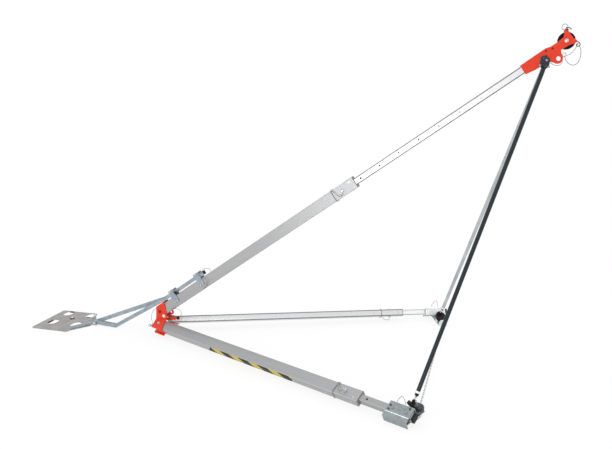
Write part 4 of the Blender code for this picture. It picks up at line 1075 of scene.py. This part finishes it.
@dataclass
class Brace:
    """One slanting brace: tube, collar, nut, threaded rod with its eye, and the tab at its top."""

    side: Side
    tube_start: float = 0.061
    top_gap: float = 0.030
    radius: float = 0.0125
    nut_gap: float = 0.0146
    nut_height: float = 0.015
    nut_radius: float = 0.0115
    rod_start: float = 0.0125
    thread_start: float = 0.0155
    thread_reach: float = 0.056
    thread_pitch: float = 0.00175
    place: Matrix = field(init=False)
    length: float = field(init=False)

    def __post_init__(self) -> None:
        """Find the brace's frame and length."""
        self.place, self.length = DATUM.brace(self.side)

    def build(self) -> None:
        """Make the brace's pieces."""
        base, end, r = self.tube_start, self.length - self.top_gap, self.radius
        # The near brace and its tab take the darker copy as painted shade, the far ones the lighter copy as
        # painted light.
        look = Look.FRONT_BRACE if self.side is Side.FRONT else Look.BACK_BRACE
        tube = [(r - 0.0019, base), (r - 0.0006, base), (r, base + 0.0008), (r, end - 0.0008),
                (r - 0.0006, end), (r - 0.0019, end)]
        self.finish(Shape().turn(tube, self.place, 48), "brace_tube", look, "tube")
        top = base - 0.0006
        collar = [(0.0062, top - 0.0137), (0.0128, top - 0.0137), (0.0150, top - 0.0122),
                  (0.0150, top - 0.0018), (0.0140, top - 0.0003), (0.0062, top - 0.0003)]
        self.finish(Shape().turn(collar, self.place, 48), "collar", Look.PALE, "collar")
        high = base - self.nut_gap
        ends = (self.place @ Vector((0, 0, z)) for z in (high - self.nut_height, high))
        self.finish(Shape().hexagon(*ends, self.nut_radius), "nut", Look.BLACK_STEEL, "nut")
        self.rod()
        refine(f"{self.side.word}_brace_tab", f"{self.side.word}_brace", look, 0.0006)

    def finish(self, shape: Shape, name: str, look: Look, node: str) -> None:
        """Turn a shape into a piece of this brace that stands for one of its CAD nodes."""
        word = self.side.word
        shape.piece(f"fine_{word}_{name}", look, f"{word}_brace", f"{word}_brace_{node}")

    def rod(self) -> None:
        """Make the threaded rod and its flat eye."""
        profile = [(0.0, self.rod_start), (0.0054, self.rod_start)]
        height = self.thread_start
        while height < self.tube_start + self.thread_reach:
            profile += [(0.0053, height), (0.0060, height + self.thread_pitch / 2)]
            height += self.thread_pitch
        profile += [(0.0050, height + 0.0006), (0.0, height + 0.0006)]
        self.finish(Shape().turn(profile, self.place, 20), "rod_thread", Look.STEEL, "rod")
        eye = [(0.0044, -0.004), (0.0092, -0.004), (0.0100, -0.0032), (0.0100, 0.0032), (0.0092, 0.004),
               (0.0044, 0.004)]
        shape = Shape().turn(eye, self.place @ Matrix.Rotation(math.radians(-90), 4, "X"))
        shape.block(self.place @ Matrix.Translation((0, 0, 0.0127)), (0.0104, 0.0078, 0.0094), 0.0008)
        self.finish(shape, "rod_eye", Look.STEEL, "rod")


@dataclass
class Foot:
    """One foot: galvanised channel with its ear, plug, black pad, bolts, pin and wires."""

    side: Side
    lip: Pair = (2.171, 2.322)
    lip_height: float = 0.0305
    bolts: Heads = Heads(((2.185, 0.012), (2.185, -0.014), (2.300, -0.030)), 0.0242, 0.0043, 0.0062)
    wires: tuple[Keeper, ...] = (
        Keeper("top_wire", ((2215, 18, 48), (2230, 16, 78), (2252, 12, 96), (2266, 12, 82),
            (2270, 16, 52))),
        Keeper("end_pin", ((2330, -8, 14), (2334, 30, 12), (2338, 58, 10)), 3.4),
        Keeper("end_ring", ring(2338, 40, 4, 15.5, 6), 1.2, True),
        Keeper("end_loop", ((2326, 20, 20), (2340, 36, 14), (2344, 44, -10), (2332, 40, -26),
            (2314, 34, -30))),
    )

    def build(self) -> None:
        """Make the foot's pieces."""
        word, way = self.side.word, self.side.value
        body = f"{word}_inner"
        # The near foot takes the darker copy as painted shade, the far foot the lighter copy as painted
        # light.
        look = Look.FRONT_FOOT if self.side is Side.FRONT else Look.BACK_FOOT
        refine(f"{word}_foot_channel", body, look, 0.0009)
        refine(f"{word}_foot_plug", body, Look.BLACK_PLASTIC, 0.0010)
        refine(f"{word}_foot_saddle", body, Look.BLACK_STEEL, 0.0022, 4)
        for wire in self.wires:
            wire.build(DATUM.ground(self.side), body, f"{word}_foot", way)
        self.bolts.build(LEG[self.side], f"{word}_foot_bolts", Look.BRACKET, body, (way,))
        start, end = self.lip
        middle = ((start + end) / 2, way * (self.bolts.face + 0.0010), self.lip_height)
        lip = Shape().block(LEG[self.side] @ Matrix.Translation(middle), (end - start, 0.003, 0.006), 0.0008)
        # Both feet's lips take the far foot's lighter copy, so they carry its painted light.
        lip.piece(f"{word}_shoe_lip", Look.BACK_FOOT, body)


@dataclass
class SpreaderChain:
    """The spreader chain between the feet, link by link."""

    wire: float = 0.0030
    width: float = 0.0110
    length: float = 0.0305
    lap: float = 0.0008
    height: float = -0.029
    ear_reach: float = 0.181
    keep: float = 0.3

    def build(self) -> None:
        """Make the links, each at a right angle to the next."""
        spread = math.radians(DATUM.leg_spread)
        ear = axes(Vector(), DATUM.leg_line(Side.FRONT), Vector((0, 0, 1)))
        ear = ear @ Vector((DATUM.saddle[0], self.ear_reach, self.height))
        lean = (self.width / 2 + 0.0003) / math.cos(spread) - self.width / 2
        room = -2 * (ear.y + lean)
        count = round((room - self.length) / (self.length - 2 * self.wire + self.lap)) + 1
        pitch = (room - self.length) / (count - 1)
        place = DATUM.part @ Matrix.Translation((ear.x, 0, self.height))
        shape = Shape()
        link = self.link(shape)
        for i in range(count):
            centre = Matrix.Translation((0, (i - (count - 1) / 2) * pitch, 0))
            turn = Matrix.Rotation(math.radians(90 if i % 2 else 0), 4, "Y")
            copy = bmesh.ops.duplicate(shape.bm, geom=link)["geom"]
            verts = only(bmesh.types.BMVert, copy)
            bmesh.ops.transform(shape.bm, matrix=place @ centre @ turn, verts=verts)
        bmesh.ops.delete(shape.bm, geom=only(bmesh.types.BMVert, link), context="VERTS")
        obj = shape.piece("fine_spreader_chain", Look.ZINC, "front_inner", "spreader_chain")
        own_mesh(obj)

    def link(self, shape: Shape) -> list:
        """Add one link in the XY plane, long in Y, and return its geometry."""
        bow, straight = (self.width - self.wire) / 2, (self.length - self.width) / 2
        r = self.wire / 2 * 0.98
        start = Matrix.Translation((bow, -straight, 0)) @ Matrix.Rotation(math.radians(90), 4, "X")
        made = bmesh.ops.create_circle(shape.bm, cap_ends=False, segments=8, radius=r, matrix=start)
        loop = list({edge for vert in made["verts"] for edge in vert.link_edges})
        for centre in (straight, -straight):
            run = bmesh.ops.extrude_edge_only(shape.bm, edges=loop)["geom"]
            verts = only(bmesh.types.BMVert, run)
            bmesh.ops.translate(shape.bm, vec=(0, 2 * centre, 0), verts=verts)
            loop = [edge for edge in only(bmesh.types.BMEdge, run) if all(v in verts for v in edge.verts)]
            bend = bmesh.ops.spin(shape.bm, geom=verts + loop, cent=(0, centre, 0), axis=(0, 0, 1),
                                  dvec=(0, 0, 0), angle=math.pi, steps=8, use_merge=False)
            loop = only(bmesh.types.BMEdge, bend["geom_last"])
        bmesh.ops.remove_doubles(shape.bm, verts=shape.bm.verts, dist=0.000005)
        return shape.bm.verts[:] + shape.bm.edges[:] + shape.bm.faces[:]


@dataclass
class RearStay:
    """The rear bars with their clamps, and the anchor plate on its pivot."""

    clamp_stations: tuple[float, ...] = (0.337, 0.597)
    clamp_face: float = 0.0302
    nut_offset: float = 0.011
    wires: tuple[Keeper, ...] = (
        Keeper("top_loop", ((640, -34, 70), (676, -36, 83), (704, -36, 79), (724, -32, 60),
            (716, -30, 43))),
        Keeper("hang_wire", ((628, -38, 40), (652, -40, 14), (650, -40, -12), (622, -37, -26),
            (586, -34, -38))),
    )
    middle_bolt: Pair = (-1.7065, 0.050)
    plate_top: float = 0.0062
    middle_head: Triple = (0.010, 0.011, 0.019)
    # Black blocks in three slots of the anchor plate: painted shadow of the plate on the floor, seen through
    # the slots.
    slot_shadow_middle: float = 0.0028
    slot_shadow_depth: float = 0.004
    slot_shadow_blocks: tuple[tuple[float, float, float, float], ...] = (
        (-1.8015, 0.1860, 0.048, 0.019), (-1.5960, 0.1090, 0.048, 0.019), (-1.8388, -0.0475, 0.0175, 0.060),
    )

    def build(self) -> None:
        """Make the bars', clamps' and anchor's pieces."""
        for node in ("rear_bar_lower", "rear_bar_upper"):
            refine(node, "boom", Look.BAR, 0.0014)
        refine("rear_bar_cap", "boom", Look.BLACK_PLASTIC, 0.001)
        for number, station in enumerate(self.clamp_stations, 1):
            for word in ("front", "back"):
                refine(f"clamp_{number}_{word}_plate", "boom", Look.BAR)
            refine(f"clamp_{number}_bolt", "boom", Look.STEEL, 0.0006)
            self.clamp_nuts(number, station)
        low, high = (BOOM @ Vector(point) for point in ((0.366, -0.0305, 0.062), (0.384, -0.0500, 0.056)))
        Shape().rod(low, high, 0.0095, 0.0022, 28).piece("clamp_knob", Look.BLACK_PLASTIC, "boom")
        for wire in self.wires:
            wire.build(BOOM, "boom", "clamp")
        refine("anchor_pivot_bolt", "boom", Look.STEEL, 0.0008)
        refine("anchor_plate", "anchor", Look.ANCHOR, 0.0008)
        # Black blocks in the slots as painted shadow of the plate on the floor.
        shape = Shape()
        for x, y, length, width in self.slot_shadow_blocks:
            place = Matrix.Translation((x, y, self.slot_shadow_middle))
            shape.block(place, (length, width, self.slot_shadow_depth), 0.001)
        shape.piece("anchor_slot_painted_shadow", Look.BLACK_PLASTIC, "anchor")
        high, bolt, washer = self.middle_head
        foot, top = (Vector((*self.middle_bolt, self.plate_top + rise)) for rise in (0.0, high))
        Shape().washer(foot, top, washer, 0.002).piece("anchor_middle_washer", Look.BRACKET, "anchor")
        Shape().hexagon(foot.lerp(top, 0.22), top, bolt).piece("anchor_middle_bolt", Look.STEEL, "anchor")
        refine("anchor_front_arm", "anchor", Look.BAR)
        refine("anchor_back_arm", "anchor", Look.BAR)

    def clamp_nuts(self, number: int, station: float) -> None:
        """Make the nuts low on a clamp's plates."""
        spots = tuple((station + offset, 0.0) for offset in (-self.nut_offset, self.nut_offset))
        nuts = Heads(spots, self.clamp_face, 0.0048, 0.0058)
        nuts.build(BOOM, f"clamp_{number}_nuts", Look.STEEL, "boom")


# Stage


@dataclass(frozen=True)
class SoftLamp:
    """One soft area lamp."""

    name: str
    place: Triple
    size: float
    power: float
    aim: Triple = (0.2, 0.0, 0.6)

    def build(self) -> None:
        """Hang the lamp and aim it at the tripod."""
        light = bpy.data.lights.new(self.name, "AREA")
        light.energy = self.power
        light.size = self.size
        lamp = bpy.data.objects.new(self.name, light)
        lamp.location = self.place
        lamp.rotation_euler = (Vector(self.aim) - Vector(self.place)).to_track_quat("-Z", "Y").to_euler()
        bpy.context.collection.objects.link(lamp)


def stage_object(name: str, shape: bmesh.types.BMesh, material: bpy.types.Material) -> bpy.types.Object:
    """Turn a bmesh into a part of the stage."""
    mesh = bpy.data.meshes.new(name)
    shape.to_mesh(mesh)
    shape.free()
    mesh.materials.append(material)
    obj = bpy.data.objects.new(name, mesh)
    bpy.context.collection.objects.link(obj)
    return obj


@dataclass
class Studio:
    """A pale floor that fades into a white background, and soft lamps."""

    floor_radius: float = 30.0
    fade: tuple[float, float] = (1.2, 3.2)
    least_glow: float = 0.82
    lamps: tuple[SoftLamp, ...] = (
        SoftLamp("key", (-2.5, -4.5, 5.5), 3.5, 34.0),
        SoftLamp("fill", (5.0, -2.5, 2.6), 3.0, 6.0),
        SoftLamp("top", (0.2, 1.2, 5.0), 4.0, 16.0),
        SoftLamp("sheen", (0.0, -4.8, 0.9), 1.6, 38.0, (0.7, 0.0, 1.3)),
    )

    def build(self) -> None:
        """Make the floor, the world and the lamps."""
        self.floor()
        world = bpy.data.worlds.new("studio")
        bpy.context.scene.world = world
        world.use_nodes = True
        sky = world.node_tree.nodes["Background"]
        sky.inputs["Color"].default_value = (1.0, 1.0, 1.0, 1.0)
        sky.inputs["Strength"].default_value = 1.0
        for lamp in self.lamps:
            lamp.build()

    def floor(self) -> None:
        """Make the floor: matt near the tripod, where it takes the shadow, and glowing white further out."""
        shape = bmesh.new()
        bmesh.ops.create_circle(shape, cap_ends=True, segments=96, radius=self.floor_radius)
        recipe = Recipe("floor_white")
        recipe.surface(Base_Color=(0.93, 0.93, 0.93, 1.0), Roughness=0.9, Specular_IOR_Level=0.1)
        glow = recipe.node("ShaderNodeEmission", Strength=1.0, Color=(1.0, 1.0, 1.0, 1.0))
        away = recipe.maths("LENGTH", recipe.coords.outputs["Object"], kind="ShaderNodeVectorMath")
        fade = recipe.node("ShaderNodeMapRange", interpolation_type="SMOOTHSTEP", From_Min=self.fade[0],
                           From_Max=self.fade[1], To_Min=self.least_glow, To_Max=1.0, Value=away)
        mix = recipe.node("ShaderNodeMixShader", Fac=fade.outputs["Result"])
        recipe.feed(mix.inputs[1], recipe.shader.outputs["BSDF"])
        recipe.feed(mix.inputs[2], glow.outputs["Emission"])
        recipe.feed(recipe.output.inputs["Surface"], mix.outputs["Shader"])
        stage_object("floor", shape, recipe.material)


@dataclass
class Viewpoint:
    """The camera at the photograph's viewpoint, in the part's frame."""

    place: Triple = (2.557, -4.158, 1.810)
    azimuth: float = 17.15
    elevation: float = 12.57
    lens: float = 38.35

    def build(self) -> None:
        """Make the camera and set how the picture is taken."""
        azimuth, elevation = math.radians(self.azimuth), math.radians(self.elevation)
        level = math.cos(elevation)
        back = Vector((math.sin(azimuth) * level, -math.cos(azimuth) * level, math.sin(elevation)))
        right = Vector((math.cos(azimuth), math.sin(azimuth), 0))
        basis = Matrix((right, back.cross(right), back)).transposed().to_4x4()
        data = bpy.data.cameras.new("camera")
        data.lens = self.lens
        data.sensor_width = 36.0
        data.sensor_fit = "HORIZONTAL"
        data.clip_end = 200.0
        camera = bpy.data.objects.new("camera", data)
        camera.matrix_world = DATUM.part @ Matrix.Translation(self.place) @ basis
        bpy.context.collection.objects.link(camera)
        scene = bpy.context.scene
        scene.camera = camera
        scene.view_settings.view_transform = "Standard"


def dress_cad(frame_data: dict) -> None:
    """Give the CAD nodes that still show the finish of their record's slot."""
    slots = {entry["node"]: entry["material_slot"] for entry in frame_data["record"]["subparts"]}
    for name, obj in frame_data["nodes"].items():
        material = MATERIALS[SLOT_LOOKS.get(slots.get(name, ""), Look.ZINC)]
        if not obj.material_slots:
            obj.data.materials.append(material)
        for holder in obj.material_slots:
            holder.material = material


def main() -> None:
    """Build every sub-assembly, the stage and the camera."""
    logging.basicConfig(level=logging.INFO)
    frame_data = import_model()
    NODES.update(frame_data["nodes"])
    MATERIALS.update({look: finish.write(look.value) for look, finish in FINISHES.items()})
    dress_cad(frame_data)
    Viewpoint().build()
    assemblies = [
        Hub(),
        Telescope("boom", BOOM, "boom", Look.BOOM, Look.BOOM_INNER, -1),
        *(Telescope(side.word, LEG[side], f"{side.word}_leg", side.look, side.inner_look, 1)
          for side in Side),
        HazardTape(),
        PulleyHead(),
        SpreaderChain(),
        RearStay(),
        *(Brace(side) for side in Side),
        *(Foot(side) for side in Side),
    ]
    for assembly in assemblies:
        assembly.build()
        LOG.info("built %s", type(assembly).__name__)
    Studio().build()
    bpy.context.view_layer.update()


if __name__ == "__main__":
    main()
